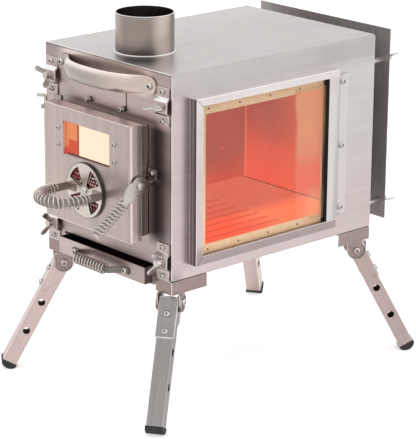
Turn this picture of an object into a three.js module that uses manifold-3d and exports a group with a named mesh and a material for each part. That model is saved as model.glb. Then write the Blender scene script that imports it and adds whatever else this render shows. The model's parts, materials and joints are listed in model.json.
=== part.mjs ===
// Portable tent stove: a welded firebox with two side windows, a clamped front plate with a glazed door and a
// rotary air damper, an ash drawer, a rear heat shield and four folding legs.
// Units are millimetres, +Z is up, the door faces -Y. The origin is on the ground, under the middle of the
// stove's outer box.

import * as THREE from "three";
import Module from "manifold-3d";
import { ConvexGeometry } from "three/addons/geometries/ConvexGeometry.js";
import { mergeVertices } from "three/addons/utils/BufferGeometryUtils.js";

// ---------------------------------------------------------------------------------------------------------
// Driving dimensions. Heights are above the firebox floor and lateral places are from its middle plane.

// General
const SHEET = 1.2; // stainless sheet of the casing
const PLATE = 1.5; // heavier plate of brackets and straps
const RUNNING_GAP = 0.3; // clearance between a pin and its bore, and between parts that slide
const SCREW_RADIUS = 2.5; // M5 screws, studs and pins
const SCREW_HEAD_RADIUS = 3.2;
const SCREW_HEAD_HEIGHT = 1.7;
const FASTENER_SIDES = 12;

// Firebox
const FIREBOX_WIDTH = 200;
const FIREBOX_LENGTH = 285;
const FIREBOX_HEIGHT = 213;

// Flue
const FLUE_RADIUS = 30.2;
const FLUE_WALL = 1.0;
const FLUE_HEIGHT = 40.6;
const FLUE_SETBACK = 50.5; // front plate to the flue's axis
const FLUE_BEAD = 1.3; // weld bead around the collar's foot
const FLUE_SIDES = 48;

// Side windows
const FRAME_SETBACK = 23.7; // front plate to the frame's outer edge
const FRAME_LENGTH = 198.8;
const FRAME_BOTTOM = 14.2;
const FRAME_TOP = 186.6;
const FRAME_PROUD = 10; // how far the frame stands out of the casing
const FRAME_RAIL = 9; // face width of the frame's rails
const FRAME_TOP_RAIL = 8.1;
const GASKET_THICKNESS = 1.8;
const GLASS_THICKNESS = 2.5;
const GLASS_LAP = 3.2; // glass edge behind the frame's rails
const VIEW_START = 43; // front plate to the gasket's opening
const VIEW_LENGTH = 163.9;
const VIEW_BOTTOM = 31.6;
const VIEW_TOP = 167.2;
const RAIL_START = 65.4; // middle of the firebox to the removable rear rail
const RAIL_PLATEAU = 12.1;
const RAIL_SLOPE = 12.2;
const RAIL_FLANGE = 11.8;
const RAIL_SCREWS = [33, 101.2, 170.4];
const RAIL_SCREW_OFFSET = 3.6; // from the foot of the slope

// Front plate
const SEAM = 0.6; // groove between the casing and the front plate
const PLATE_BOLT_X = 27;
const PLATE_BOLT_Z = 165.4;
const SLOT_X = 30.8;
const SLOT_BOTTOM = 163;
const SLOT_TOP = 184.4;
const NOTCH_TOP = 13.4; // opening for the ash drawer
const DOOR_OPENING_LAP = 6; // how far the door's liner laps over the plate's opening

// Clamps and wing bolts
const CLAMP_X = 88;
const CLAMP_WIDTH = 18.4;
const CLAMP_HEIGHT = 38.3;
const CLAMP_BRIDGE = 15; // height of the raised bridge
const CLAMP_RISE = 3.5; // how far the bridge stands above the tabs
const CLAMP_TOP_Z = 179.7;
const CLAMP_BOTTOM_Z = 20.1;
const CLAMP_SCREW_SPREAD = 14.8; // clamp middle to each screw
const WING_HUB_RADIUS = 4.6;
const WING_HUB_LENGTH = 6;
const WING_SPAN = 13; // axis to wing tip
const WING_RISE = 13.5; // hub foot to wing tip
const WING_THICKNESS = 2;

// Carry handle: a tube flattened at its ends
const HANDLE_SCREW_X = 70;
const HANDLE_Z = 197;
const HANDLE_HEIGHT = 19;
const HANDLE_DEPTH = 9;
const HANDLE_TAB_HEIGHT = 18;
const HANDLE_TAB_THICKNESS = 2.4;
const HANDLE_REACH = 22.5; // front plate to the tube's axis at mid-length
const HANDLE_FLAT_START = 61; // where the flat end tabs begin
const HANDLE_END = 78;
const HANDLE_SIDES = 12;

// Door
const DOOR_WIDTH = 137;
const DOOR_BOTTOM = 38.8;
const DOOR_TOP = 159.8;
const DOOR_FACE_OUT = 27.5; // front plate to the door's face
const DOOR_TRAY_DEPTH = 15.5;
const DOOR_PLATE_GAP = 0.7; // liner to the front plate
const DOOR_CORNER = 3;
const LINER_INSET = 4;
const LINER_END_INSET = 3.5;
const LINER_RIM = 4.5;

// Door window
const DOOR_VIEW_WIDTH = 73.4;
const DOOR_VIEW_BOTTOM = 110.6;
const DOOR_VIEW_TOP = 145.3;
const DOOR_GLASS_LAP = 5;
const DOOR_GLASS_RECESS = 3; // door face to the glass
const DOOR_GLASS_THICKNESS = 2.5;
const GLAZING_BORDER = 8.5; // of the glazing plate, outside the glass
const GLAZING_SCREW_X = 44.7;
const GLAZING_SCREWS_Z = [119, 136.8];

// Air damper
const AIR_Z = 79.7;
const DAMPER_RADIUS = 29;
const DAMPER_PROUD = 3; // door face to the disc's face
const DAMPER_SHEET = 1;
const SECTOR_INNER = 7;
const SECTOR_OUTER = 25;
const SECTOR_SWEEP = 44; // degrees of each air opening
const SECTOR_COUNT = 4;
const MESH_RADIUS = 28;
const MESH_THICKNESS = 1;
const MESH_FLAT = 23.6; // hub to the flat that clears the window
const MESH_HOLE_RADIUS = 1.15;
const MESH_PITCH = 4;

// Damper handle
const GRIP_WIDTH = 8;
const GRIP_THICKNESS = 1.5;
const DAMPER_GRIP_SPREAD = 26; // hub to each leg of the bow
const DAMPER_GRIP_LEG = 25;
const DAMPER_GRIP_FOOT = 12;
const DAMPER_COIL_OVERRUN = 8; // length of coil on each leg

// Heat-shedding coils wound around the grips
const COIL_PITCH = 4.5;
const COIL_WIRE_RADIUS = 0.95;
const COIL_RADIUS = 5.4; // to the middle of the wire
const COIL_STEPS_PER_TURN = 9;
const COIL_SECTION_SIDES = 4;

// Door latch
const LATCH_SETBACK = 10; // door face to the pivot
const LATCH_Z = 98.2;
const LATCH_STAND_OFF = 2; // door side to the lever
const LATCH_THICKNESS = 2;
const LATCH_HEAD_RADIUS = 9.5;
const LATCH_DROOP = 35.4; // degrees below the horizontal
const LATCH_NECK = 22; // pivot to the grip's first coil
const LATCH_GRIP = 47;
const LATCH_TAIL = 14.5;
const LATCH_TAIL_BOTTOM = 95.6;
const LATCH_TAIL_TOP = 101;
const CATCH_REACH = 7;
const CATCH_WIDTH = 12;
const CATCH_HEIGHT = 12;

// Door hinge
const HINGE_PIN_X = -79;
const HINGE_PIN_OUT = 17; // front plate to the pin's axis
const HINGE_PIN_RADIUS = 2;
const HINGE_PIN_BOTTOM = 40;
const HINGE_PIN_TOP = 162;
const HINGE_PIN_BEND = 9;
const HINGE_UPPER_Z = 150;
const HINGE_LOWER_Z = 45;
const HINGE_LUG_THICKNESS = 2;
const HINGE_LUG_RADIUS = 5;
const HINGE_BASE_LEFT = -85;
const HINGE_BASE_RIGHT = -73;
const HINGE_BASE_HEIGHT = 10;

// Ash drawer
const DRAWER_WIDTH = 139;
const DRAWER_TOP = 10.2;
const DRAWER_BOTTOM = -7.5;
const DRAWER_OUT = 9.5; // how far its front stands out of the front plate
const DRAWER_LENGTH = 190;
const CHANNEL_GAP = 0.6;
const CHANNEL_LENGTH = 196;
const CHANNEL_FLANGE = 3.5;
const DRAWER_SCREW_X = 40.5;
const DRAWER_GRIP_Z = 0.5;
const DRAWER_GRIP_WIDTH = 7;
const DRAWER_GRIP_REACH = 12.5;
const DRAWER_TAB_END = 45.5;
const DRAWER_TAB_START = 35;
const DRAWER_BAR = 27;
const DRAWER_COIL_HALF = 23.5;

// Grate
const GRATE_Z = 13;
const GRATE_SLOT_WIDTH = 5;
const GRATE_SLOT_LENGTH = 110;
const GRATE_SLOT_COUNT = 7;
const GRATE_SLOT_PITCH = 16;
const GRATE_CLEARANCE = 1;

// Rear heat shield
const SHIELD_WIDTH = 200;
const SHIELD_BOTTOM = 4.8;
const SHIELD_TOP = 215.5;
const SHIELD_GAP = 22.5; // casing to the shield's edge
const SHIELD_BORDER = 8;
const SHIELD_BEVEL = 2.5;
const STUD_X = 88;
const STUD_TOP_Z = 180.3;
const STUD_BOTTOM_Z = 22.5;
const STUD_BEYOND = 11;
const SPACER_RADIUS = 3.4;

// Legs
const LEG_PIVOT_X = 87.6;
const LEG_PIVOT_Y = 133;
const LEG_PIVOT_DROP = 24.5; // below the firebox floor
const LEG_SPLAY = 28.1; // degrees off the vertical
const LEG_HEADING = 34.8; // degrees from the length axis towards the side
const LEG_LENGTH = 134.6; // pivot to the foot's end, along the leg
const LEG_WIDTH = 17; // along the pivot pin
const LEG_DEPTH = 16;
const LEG_WALL = 1.2;
const LEG_TUBE_START = 5;
const LEG_HOLES = [51.6, 87.4]; // pivot to the cross holes
const LEG_HOLE_RADIUS = 4;
const SLEEVE_LENGTH = 38.5;
const SLEEVE_START = -3;
const SLEEVE_THICKNESS = 1.5;
const SLEEVE_SCREWS = [14.5, 32.4];
const CHEEK_RADIUS = 8;
const LEG_FOLD = 118; // degrees from the splayed stop to flat under the firebox
const FOOT_HEIGHT = 7;
const FOOT_PROUD = 0.8;

// Leg brackets
const BRACKET_WIDTH = 25;
const BRACKET_LENGTH = 47.5;
const BRACKET_HEIGHT = 13.8;
const EAR_GAP = 0.8; // sleeve to ear
const EAR_RADIUS = 10.5;
const EAR_THICKNESS = 1.5;
const PIVOT_HEAD_RADIUS = 4;
const PIVOT_HEAD_HEIGHT = 2.2;
const LOCK_OFFSET = 8.2; // pivot to the lock pin

// ---------------------------------------------------------------------------------------------------------
// Derived places

const radians = THREE.MathUtils.degToRad;
const SIDE_X = FIREBOX_WIDTH / 2;
const FRONT_Y = -FIREBOX_LENGTH / 2;
const BACK_Y = FIREBOX_LENGTH / 2;
const INNER_X = SIDE_X - SHEET;
const INNER_TOP = FIREBOX_HEIGHT - SHEET;
const BORE_RADIUS = SCREW_RADIUS + RUNNING_GAP;
const CLAMP_FACE_Y = FRONT_Y - PLATE - CLAMP_RISE;
const DOOR_X = DOOR_WIDTH / 2;
const DOOR_FACE_Y = FRONT_Y - DOOR_FACE_OUT;
const DOOR_INNER_Y = DOOR_FACE_Y + SHEET;
const TRAY_BACK_Y = DOOR_FACE_Y + DOOR_TRAY_DEPTH;
const LINER_X = DOOR_X - LINER_INSET;
const LINER_BOTTOM = DOOR_BOTTOM + LINER_END_INSET;
const LINER_TOP = DOOR_TOP - LINER_END_INSET;
const LINER_BACK_Y = FRONT_Y - DOOR_PLATE_GAP;
const DAMPER_FACE_Y = DOOR_FACE_Y - DAMPER_PROUD;
const BOW_Y = DAMPER_FACE_Y - DAMPER_GRIP_LEG; // where the damper handle's bow begins
const LATCH_Y = DOOR_FACE_Y + LATCH_SETBACK;
const LATCH_X = DOOR_X + LATCH_STAND_OFF;
const HINGE_PIN_Y = FRONT_Y - HINGE_PIN_OUT;
const DRAWER_X = DRAWER_WIDTH / 2;
const DRAWER_FACE_Y = FRONT_Y - DRAWER_OUT;
const CHANNEL_INNER_X = DRAWER_X + CHANNEL_GAP;
const CHANNEL_X = CHANNEL_INNER_X + SHEET;
const GASKET_FACE_X = SIDE_X + GASKET_THICKNESS;
const GLASS_FACE_X = GASKET_FACE_X + GLASS_THICKNESS;
const FRAME_FACE_X = SIDE_X + FRAME_PROUD;
const FRAME_START_Y = FRONT_Y + FRAME_SETBACK;
const FRAME_END_Y = FRAME_START_Y + FRAME_LENGTH;
const VIEW_START_Y = FRONT_Y + VIEW_START;
const VIEW_END_Y = VIEW_START_Y + VIEW_LENGTH;
const SHIELD_Y = BACK_Y + SHIELD_GAP;
const SHIELD_BACK_Y = SHIELD_Y + SHIELD_BEVEL + SHEET;
const LEG_U = LEG_WIDTH / 2; // half sizes of the leg tube
const LEG_N = LEG_DEPTH / 2;
const CHEEK_U = LEG_U + SLEEVE_THICKNESS;
const EAR_U = CHEEK_U + EAR_GAP;
const DAMPER_GRIP_FRONT = BOW_Y - DAMPER_GRIP_SPREAD - COIL_RADIUS - COIL_WIRE_RADIUS;
const FOOT_N = LEG_N + FOOT_PROUD;
const FOOT_DROP =
  (LEG_LENGTH - FOOT_HEIGHT) * Math.cos(radians(LEG_SPLAY)) +
  Math.hypot(FOOT_N * Math.sin(radians(LEG_SPLAY)), FOOT_HEIGHT * Math.cos(radians(LEG_SPLAY)));
const FLOOR_DROP = LEG_PIVOT_DROP + FOOT_DROP;

// ---------------------------------------------------------------------------------------------------------
// Solids

const wasm = await Module();
wasm.setup();

function solid(geometry) {
  const bare = geometry.clone();
  bare.deleteAttribute("normal");
  bare.deleteAttribute("uv");
  const merged = mergeVertices(bare, 1e-4);
  const mesh = new wasm.Mesh({
    numProp: 3,
    vertProperties: new Float32Array(merged.attributes.position.array),
    triVerts: new Uint32Array(merged.index.array),
  });
  return new wasm.Manifold(mesh);
}

function box(x0, x1, y0, y1, z0, z1) {
  const geometry = new THREE.BoxGeometry(x1 - x0, y1 - y0, z1 - z0);
  geometry.translate((x0 + x1) / 2, (y0 + y1) / 2, (z0 + z1) / 2);
  return solid(geometry);
}

// A round bar between two points.
function bar(start, end, radius, sides = FASTENER_SIDES, endRadius = radius) {
  const from = new THREE.Vector3(...start);
  const along = new THREE.Vector3(...end).sub(from);
  const geometry = new THREE.CylinderGeometry(endRadius, radius, along.length(), sides);
  geometry.translate(0, along.length() / 2, 0);
  const turn = new THREE.Quaternion().setFromUnitVectors(new THREE.Vector3(0, 1, 0), along.normalize());
  geometry.applyQuaternion(turn);
  geometry.translate(...start);
  return solid(geometry);
}

// A screw head that stands on a surface and points along a direction. Its foot is sunk so that the two join.
function screwHead(foot, direction, radius = SCREW_HEAD_RADIUS, height = SCREW_HEAD_HEIGHT) {
  const at = (rise) => foot.map((value, i) => value + rise * direction[i]);
  return bar(at(-0.3), at(height), radius, FASTENER_SIDES, radius * 0.6);
}

function axis(x, y, z) {
  return new THREE.Vector3(x, y, z);
}

// An outline in two of the axes, extruded along the third one from low to high. Plane x takes (y, z) points,
// plane y takes (z, x) points and plane z takes (x, y) points.
const PLANES = {
  x: (low) => new THREE.Matrix4().makeBasis(axis(0, 1, 0), axis(0, 0, 1), axis(1, 0, 0)).setPosition(low, 0, 0),
  y: (low) => new THREE.Matrix4().makeBasis(axis(0, 0, 1), axis(1, 0, 0), axis(0, 1, 0)).setPosition(0, low, 0),
  z: (low) => new THREE.Matrix4().setPosition(0, 0, low),
};

function extrude(shape, plane, low, high, curveSegments = 8) {
  const geometry = new THREE.ExtrudeGeometry(shape, { depth: high - low, bevelEnabled: false, curveSegments });
  geometry.applyMatrix4(PLANES[plane](low));
  return solid(geometry);
}

function outline(points) {
  return new THREE.Shape(points.map(([a, b]) => new THREE.Vector2(a, b)));
}

function circleShape(centreA, centreB, radius) {
  const shape = new THREE.Shape();
  shape.absarc(centreA, centreB, radius, 0, 2 * Math.PI);
  return shape;
}

// The side view of a bent strip: points run along one face of it, and the thickness grows to their left.
function bentStrip(points, thickness) {
  const line = points.map(([a, b]) => new THREE.Vector2(a, b));
  const other = line.map((point, i) => {
    const before = i > 0 ? point.clone().sub(line[i - 1]).normalize() : null;
    const after = i < line.length - 1 ? line[i + 1].clone().sub(point).normalize() : null;
    const mean = (before ?? after).clone().add(after ?? before).normalize();
    const left = new THREE.Vector2(-mean.y, mean.x);
    const stretch = before && after ? 1 / Math.max(mean.dot(before), 0.2) : 1;
    return point.clone().addScaledVector(left, thickness * stretch);
  });
  return new THREE.Shape([...line, ...other.reverse()]);
}

// A section carried along a path of points. With an upright direction the section's second axis stays on it;
// without one the section keeps its own twist.
function sweep(path, sectionAt, upright = null) {
  const positions = [];
  const sides = sectionAt(0).length;
  let normal = upright ?? (Math.abs(path[1].clone().sub(path[0]).normalize().z) < 0.9 ? axis(0, 0, 1) : axis(1, 0, 0));
  path.forEach((point, i) => {
    const tangent = (path[i + 1] ?? point).clone().sub(path[i - 1] ?? point).normalize();
    if (!upright) normal = normal.clone().addScaledVector(tangent, -normal.dot(tangent)).normalize();
    const across = tangent.clone().cross(normal).normalize();
    for (const [a, b] of sectionAt(i / (path.length - 1))) {
      const place = point.clone().addScaledVector(across, a).addScaledVector(normal, b);
      positions.push(place.x, place.y, place.z);
    }
  });
  const faces = [];
  const last = (path.length - 1) * sides;
  for (let i = 0; i < path.length - 1; i++) {
    for (let k = 0; k < sides; k++) {
      const a = i * sides + k;
      const b = i * sides + ((k + 1) % sides);
      faces.push([a, b, b + sides], [a, b + sides, a + sides]);
    }
  }
  for (let k = 1; k < sides - 1; k++) {
    faces.push([0, k + 1, k], [last, last + k, last + k + 1]);
  }
  const corner = (i) => axis(positions[3 * i], positions[3 * i + 1], positions[3 * i + 2]);
  const volume = faces.reduce((sum, [a, b, c]) => sum + corner(a).dot(corner(b).cross(corner(c))), 0);
  const geometry = new THREE.BufferGeometry();
  geometry.setAttribute("position", new THREE.Float32BufferAttribute(positions, 3));
  geometry.setIndex(faces.flatMap(([a, b, c]) => (volume > 0 ? [a, b, c] : [a, c, b])));
  return solid(geometry);
}

function polygon(count, radiusA, radiusB = radiusA) {
  return Array.from({ length: count }, (_, k) => {
    const angle = (2 * Math.PI * (k + 0.5)) / count;
    return [radiusA * Math.cos(angle), radiusB * Math.sin(angle)];
  });
}

// A wire wound around a path. The frame of the path is (inward, width); both ends of the wire dive into the
// strip that the coil is wound on, across its width.
function coil(length, frameAt) {
  const turns = Math.round(length / COIL_PITCH) + 0.5;
  const steps = Math.round(turns * COIL_STEPS_PER_TURN);
  const path = [];
  for (let i = 0; i <= steps; i++) {
    const { centre, inward, width } = frameAt(i / steps);
    const angle = (i / steps) * turns * 2 * Math.PI;
    const dive = Math.min(i, steps - i) === 0 ? COIL_RADIUS - 2.6 : COIL_RADIUS;
    path.push(
      centre
        .clone()
        .addScaledVector(width, dive * Math.cos(angle))
        .addScaledVector(inward, dive * Math.sin(angle)),
    );
  }
  return sweep(path, () => polygon(COIL_SECTION_SIDES, COIL_WIRE_RADIUS));
}

function union(parts) {
  return parts.reduce((whole, part) => whole.add(part));
}

function cut(whole, parts) {
  return parts.reduce((rest, part) => rest.subtract(part), whole);
}

function toGeometry(manifold, transform = null) {
  const { vertProperties, triVerts, numProp } = manifold.getMesh();
  const count = vertProperties.length / numProp;
  const position = new Float32Array(count * 3);
  for (let i = 0; i < count; i++) {
    for (let k = 0; k < 3; k++) position[3 * i + k] = vertProperties[numProp * i + k];
  }
  const geometry = new THREE.BufferGeometry();
  geometry.setAttribute("position", new THREE.BufferAttribute(position, 3));
  geometry.setIndex(new THREE.BufferAttribute(new Uint32Array(triVerts), 1));
  if (transform) geometry.applyMatrix4(transform);
  geometry.computeVertexNormals();
  return geometry;
}

// ---------------------------------------------------------------------------------------------------------
// Materials

const material = (color, roughness, metalness, extra = {}) =>
  new THREE.MeshStandardMaterial({ color, roughness, metalness, ...extra });

const brushedSteel = material(0xb9b0ad, 0.35, 1);
const polishedSteel = material(0xc9c6c4, 0.2, 1);
const heatedSteel = material(0xa8613f, 0.45, 1);
const shieldSteel = material(0x5a5654, 0.4, 1);
const zinc = material(0xd0d2d3, 0.25, 1);
const rubber = material(0x2e2e33, 0.8, 0);
const gasketFibre = material(0xdcc79c, 0.9, 0);
const ceramicGlass = material(0xf0d9b0, 0.05, 0, { transparent: true, opacity: 0.35 });

const stove = new THREE.Group();

function add(name, shape, finish, transform = null) {
  const mesh = new THREE.Mesh(toGeometry(shape, transform), finish);
  mesh.name = name;
  stove.add(mesh);
}

// ---------------------------------------------------------------------------------------------------------
// Firebox

// A box on the right-hand side, or its mirror image on the left.
function sideBox(side, x0, x1, y0, y1, z0, z1) {
  return side > 0 ? box(x0, x1, y0, y1, z0, z1) : box(-x1, -x0, y0, y1, z0, z1);
}

const flueAxisY = FRONT_Y + FLUE_SETBACK;
const flueBore = FLUE_RADIUS - FLUE_WALL;
const viewMargin = 1;

add(
  "firebox_shell",
  cut(box(-SIDE_X, SIDE_X, FRONT_Y, BACK_Y, 0, FIREBOX_HEIGHT), [
    box(-INNER_X, INNER_X, FRONT_Y - 1, BACK_Y + 1, SHEET, INNER_TOP),
    bar([0, flueAxisY, INNER_TOP - 1], [0, flueAxisY, FIREBOX_HEIGHT + 1], flueBore, FLUE_SIDES),
    box(-CHANNEL_X, CHANNEL_X, FRONT_Y - 1, FRONT_Y + CHANNEL_LENGTH, -1, SHEET + 1),
    ...[1, -1].map((side) =>
      sideBox(side, INNER_X - 1, SIDE_X + 1, VIEW_START_Y - viewMargin, VIEW_END_Y + viewMargin, VIEW_BOTTOM - viewMargin, VIEW_TOP + viewMargin),
    ),
  ]),
  brushedSteel,
);

add(
  "flue_collar",
  cut(
    union([
      bar([0, flueAxisY, FIREBOX_HEIGHT], [0, flueAxisY, FIREBOX_HEIGHT + FLUE_HEIGHT], FLUE_RADIUS, FLUE_SIDES),
      bar([0, flueAxisY, FIREBOX_HEIGHT], [0, flueAxisY, FIREBOX_HEIGHT + FLUE_BEAD], FLUE_RADIUS + FLUE_BEAD, FLUE_SIDES, FLUE_RADIUS),
    ]),
    [bar([0, flueAxisY, FIREBOX_HEIGHT - 1], [0, flueAxisY, FIREBOX_HEIGHT + FLUE_HEIGHT + 1], flueBore, FLUE_SIDES)],
  ),
  polishedSteel,
);

// The channel hangs under the floor's slot, with its walls standing in the slot and its flanges under the floor.
const channelBottom = DRAWER_BOTTOM - CHANNEL_GAP - SHEET;
const channelBack = FRONT_Y + CHANNEL_LENGTH;
const channelTop = DRAWER_TOP + CHANNEL_GAP;
add(
  "ash_channel",
  cut(
    union([
      box(-CHANNEL_X, CHANNEL_X, FRONT_Y, channelBack, channelBottom, channelTop),
      box(-CHANNEL_X - CHANNEL_FLANGE, CHANNEL_X + CHANNEL_FLANGE, FRONT_Y + PLATE, channelBack, -SHEET, 0),
    ]),
    [box(-CHANNEL_INNER_X, CHANNEL_INNER_X, FRONT_Y - 1, channelBack - SHEET, DRAWER_BOTTOM - CHANNEL_GAP, channelTop + 1)],
  ),
  brushedSteel,
);

const plateBack = FRONT_Y + PLATE;
const rimBack = plateBack + SHEET;
const innerRimZ = [SHEET, INNER_TOP];
const plateX = INNER_X - SEAM;
const doorOpeningX = LINER_X - DOOR_OPENING_LAP;
const clampPlaces = [
  ["upper_left", -CLAMP_X, CLAMP_TOP_Z],
  ["upper_right", CLAMP_X, CLAMP_TOP_Z],
  ["lower_left", -CLAMP_X, CLAMP_BOTTOM_Z],
  ["lower_right", CLAMP_X, CLAMP_BOTTOM_Z],
];

add(
  "front_plate",
  cut(
    union([
      box(-plateX, plateX, FRONT_Y, plateBack, innerRimZ[0] + SEAM, innerRimZ[1] - SEAM),
      box(-INNER_X, INNER_X, plateBack, rimBack, innerRimZ[0], innerRimZ[1]),
      ...[-1, 1].map((side) => bar([side * PLATE_BOLT_X, FRONT_Y, PLATE_BOLT_Z], [side * PLATE_BOLT_X, FRONT_Y - 5.5, PLATE_BOLT_Z], SCREW_HEAD_RADIUS, FASTENER_SIDES, SCREW_RADIUS)),
    ]),
    [
      box(-doorOpeningX, doorOpeningX, FRONT_Y - 1, rimBack + 1, LINER_BOTTOM + DOOR_OPENING_LAP, LINER_TOP - DOOR_OPENING_LAP),
      box(-CHANNEL_X, CHANNEL_X, FRONT_Y - 1, rimBack + 1, 0, NOTCH_TOP),
      box(SLOT_X - 0.8, SLOT_X + 0.8, FRONT_Y - 1, rimBack + 1, SLOT_BOTTOM, SLOT_TOP),
      ...clampPlaces.map(([, x, z]) => bar([x, FRONT_Y - 1, z], [x, rimBack + 1, z], BORE_RADIUS)),
    ],
  ),
  brushedSteel,
);

const studPlaces = [
  ["upper_left", -STUD_X, STUD_TOP_Z],
  ["upper_right", STUD_X, STUD_TOP_Z],
  ["lower_left", -STUD_X, STUD_BOTTOM_Z],
  ["lower_right", STUD_X, STUD_BOTTOM_Z],
];
const shieldFaceY = SHIELD_Y + SHIELD_BEVEL; // the shield's front face, inside its border

add(
  "back_plate",
  union([
    box(-INNER_X, INNER_X, BACK_Y - SHEET, BACK_Y, innerRimZ[0], innerRimZ[1]),
    ...studPlaces.map(([, x, z]) => bar([x, BACK_Y, z], [x, shieldFaceY, z], SPACER_RADIUS)),
    ...studPlaces.map(([, x, z]) => bar([x, BACK_Y, z], [x, SHIELD_BACK_Y + STUD_BEYOND, z], SCREW_RADIUS)),
  ]),
  brushedSteel,
);

// The shield is a shallow pan: a flat middle with a sloped border.
const panHalf = SHIELD_WIDTH / 2;
function panHull(low, high, rimY, floorY) {
  const corners = (halfX, z0, z1, y) => [axis(-halfX, y, z0), axis(halfX, y, z0), axis(halfX, y, z1), axis(-halfX, y, z1)];
  return solid(
    new ConvexGeometry([
      ...corners(panHalf, SHIELD_BOTTOM, SHIELD_TOP, low),
      ...corners(panHalf, SHIELD_BOTTOM, SHIELD_TOP, rimY),
      ...corners(panHalf - SHIELD_BORDER, SHIELD_BOTTOM + SHIELD_BORDER, SHIELD_TOP - SHIELD_BORDER, floorY),
    ]),
  );
}
add(
  "rear_heat_shield",
  cut(panHull(SHIELD_Y, 0, SHIELD_Y + SHEET, SHIELD_BACK_Y), [
    panHull(SHIELD_Y - 1, 0, SHIELD_Y, shieldFaceY),
    ...studPlaces.map(([, x, z]) => bar([x, SHIELD_Y - 1, z], [x, SHIELD_BACK_Y + 1, z], SCREW_RADIUS)),
  ]),
  shieldSteel,
);

const grateX = INNER_X - GRATE_CLEARANCE;
const grateY = FIREBOX_LENGTH / 2 - 5;
const slots = Array.from({ length: GRATE_SLOT_COUNT }, (_, i) => (i - (GRATE_SLOT_COUNT - 1) / 2) * GRATE_SLOT_PITCH);
add(
  "fire_grate",
  cut(box(-grateX, grateX, -grateY, grateY, SHEET, GRATE_Z + SHEET), [
    box(-grateX + SHEET, grateX - SHEET, -grateY - 1, grateY + 1, 0, GRATE_Z),
    ...slots.map((x) => box(x - GRATE_SLOT_WIDTH / 2, x + GRATE_SLOT_WIDTH / 2, -GRATE_SLOT_LENGTH / 2, GRATE_SLOT_LENGTH / 2, GRATE_Z - 1, GRATE_Z + SHEET + 1)),
  ]),
  heatedSteel,
);

// ---------------------------------------------------------------------------------------------------------
// Side windows

const glassStart = FRAME_START_Y + FRAME_RAIL - GLASS_LAP;
const glassEnd = RAIL_START + RAIL_PLATEAU - 0.5;
const glassBottom = FRAME_BOTTOM + FRAME_RAIL + 0.6 - GLASS_LAP;
const glassTop = FRAME_TOP - FRAME_TOP_RAIL + GLASS_LAP;
const frameOpening = [FRAME_BOTTOM + FRAME_RAIL + 0.6, FRAME_TOP - FRAME_TOP_RAIL];

for (const [word, side] of [["right", 1], ["left", -1]]) {
  add(
    `window_gasket_${word}`,
    cut(sideBox(side, SIDE_X, GASKET_FACE_X, glassStart, glassEnd, glassBottom, glassTop), [
      sideBox(side, SIDE_X - 1, GASKET_FACE_X + 1, VIEW_START_Y, VIEW_END_Y, VIEW_BOTTOM, VIEW_TOP),
    ]),
    gasketFibre,
  );
  add(
    `side_glass_${word}`,
    sideBox(side, GASKET_FACE_X, GLASS_FACE_X, glassStart, glassEnd, glassBottom, glassTop),
    ceramicGlass,
  );
  const hollow = FRAME_FACE_X - SHEET;
  add(
    `window_frame_${word}`,
    cut(sideBox(side, SIDE_X, FRAME_FACE_X, FRAME_START_Y, FRAME_END_Y, FRAME_BOTTOM, FRAME_TOP), [
      sideBox(side, SIDE_X - 1, FRAME_FACE_X + 1, FRAME_START_Y + FRAME_RAIL, FRAME_END_Y + 1, ...frameOpening),
      sideBox(side, SIDE_X - 1, GLASS_FACE_X, FRAME_START_Y + SHEET, FRAME_END_Y + 1, FRAME_BOTTOM + SHEET, FRAME_TOP - SHEET),
      sideBox(side, GLASS_FACE_X - 1, hollow, FRAME_START_Y + SHEET, FRAME_START_Y + FRAME_RAIL - SHEET, FRAME_BOTTOM + SHEET, FRAME_TOP - SHEET),
      sideBox(side, GLASS_FACE_X - 1, hollow, FRAME_START_Y + SHEET, FRAME_END_Y - SHEET, frameOpening[1] + SHEET, FRAME_TOP - SHEET),
      sideBox(side, GLASS_FACE_X - 1, hollow, FRAME_START_Y + SHEET, FRAME_END_Y - SHEET, FRAME_BOTTOM + SHEET, frameOpening[0] - SHEET),
    ]),
    brushedSteel,
  );
  const slopeEnd = RAIL_START + RAIL_PLATEAU + RAIL_SLOPE;
  const flangeX = SIDE_X + PLATE;
  const strip = [
    [side * GLASS_FACE_X, RAIL_START],
    [side * FRAME_FACE_X, RAIL_START],
    [side * FRAME_FACE_X, RAIL_START + RAIL_PLATEAU],
    [side * flangeX, slopeEnd],
    [side * flangeX, slopeEnd + RAIL_FLANGE],
  ];
  const profile = bentStrip(side > 0 ? strip : strip.toReversed(), PLATE);
  add(
    `window_retainer_${word}`,
    union([
      extrude(profile, "z", frameOpening[0] + RUNNING_GAP / 2, frameOpening[1] - RUNNING_GAP / 2),
      ...RAIL_SCREWS.map((z) => screwHead([side * flangeX, slopeEnd + RAIL_SCREW_OFFSET, z], [side, 0, 0])),
    ]),
    brushedSteel,
  );
}

// ---------------------------------------------------------------------------------------------------------
// Front clamps, wing bolts and carry handle

const halfClamp = CLAMP_HEIGHT / 2;
const halfBridge = CLAMP_BRIDGE / 2 - CLAMP_RISE / 2;
for (const [word, x, z] of clampPlaces) {
  const tab = FRONT_Y - PLATE;
  const face = [
    [tab, z + halfClamp],
    [tab, z + halfBridge + CLAMP_RISE],
    [CLAMP_FACE_Y, z + halfBridge],
    [CLAMP_FACE_Y, z - halfBridge],
    [tab, z - halfBridge - CLAMP_RISE],
    [tab, z - halfClamp],
  ];
  add(
    `front_clamp_${word}`,
    cut(
      union([
        extrude(bentStrip(face, PLATE), "x", x - CLAMP_WIDTH / 2, x + CLAMP_WIDTH / 2),
        ...[-1, 1].map((end) => screwHead([x, tab, z + end * CLAMP_SCREW_SPREAD], [0, -1, 0], 2.8, 1.6)),
      ]),
      [bar([x, CLAMP_FACE_Y - 1, z], [x, FRONT_Y + 1, z], BORE_RADIUS)],
    ),
    brushedSteel,
  );
}

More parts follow.
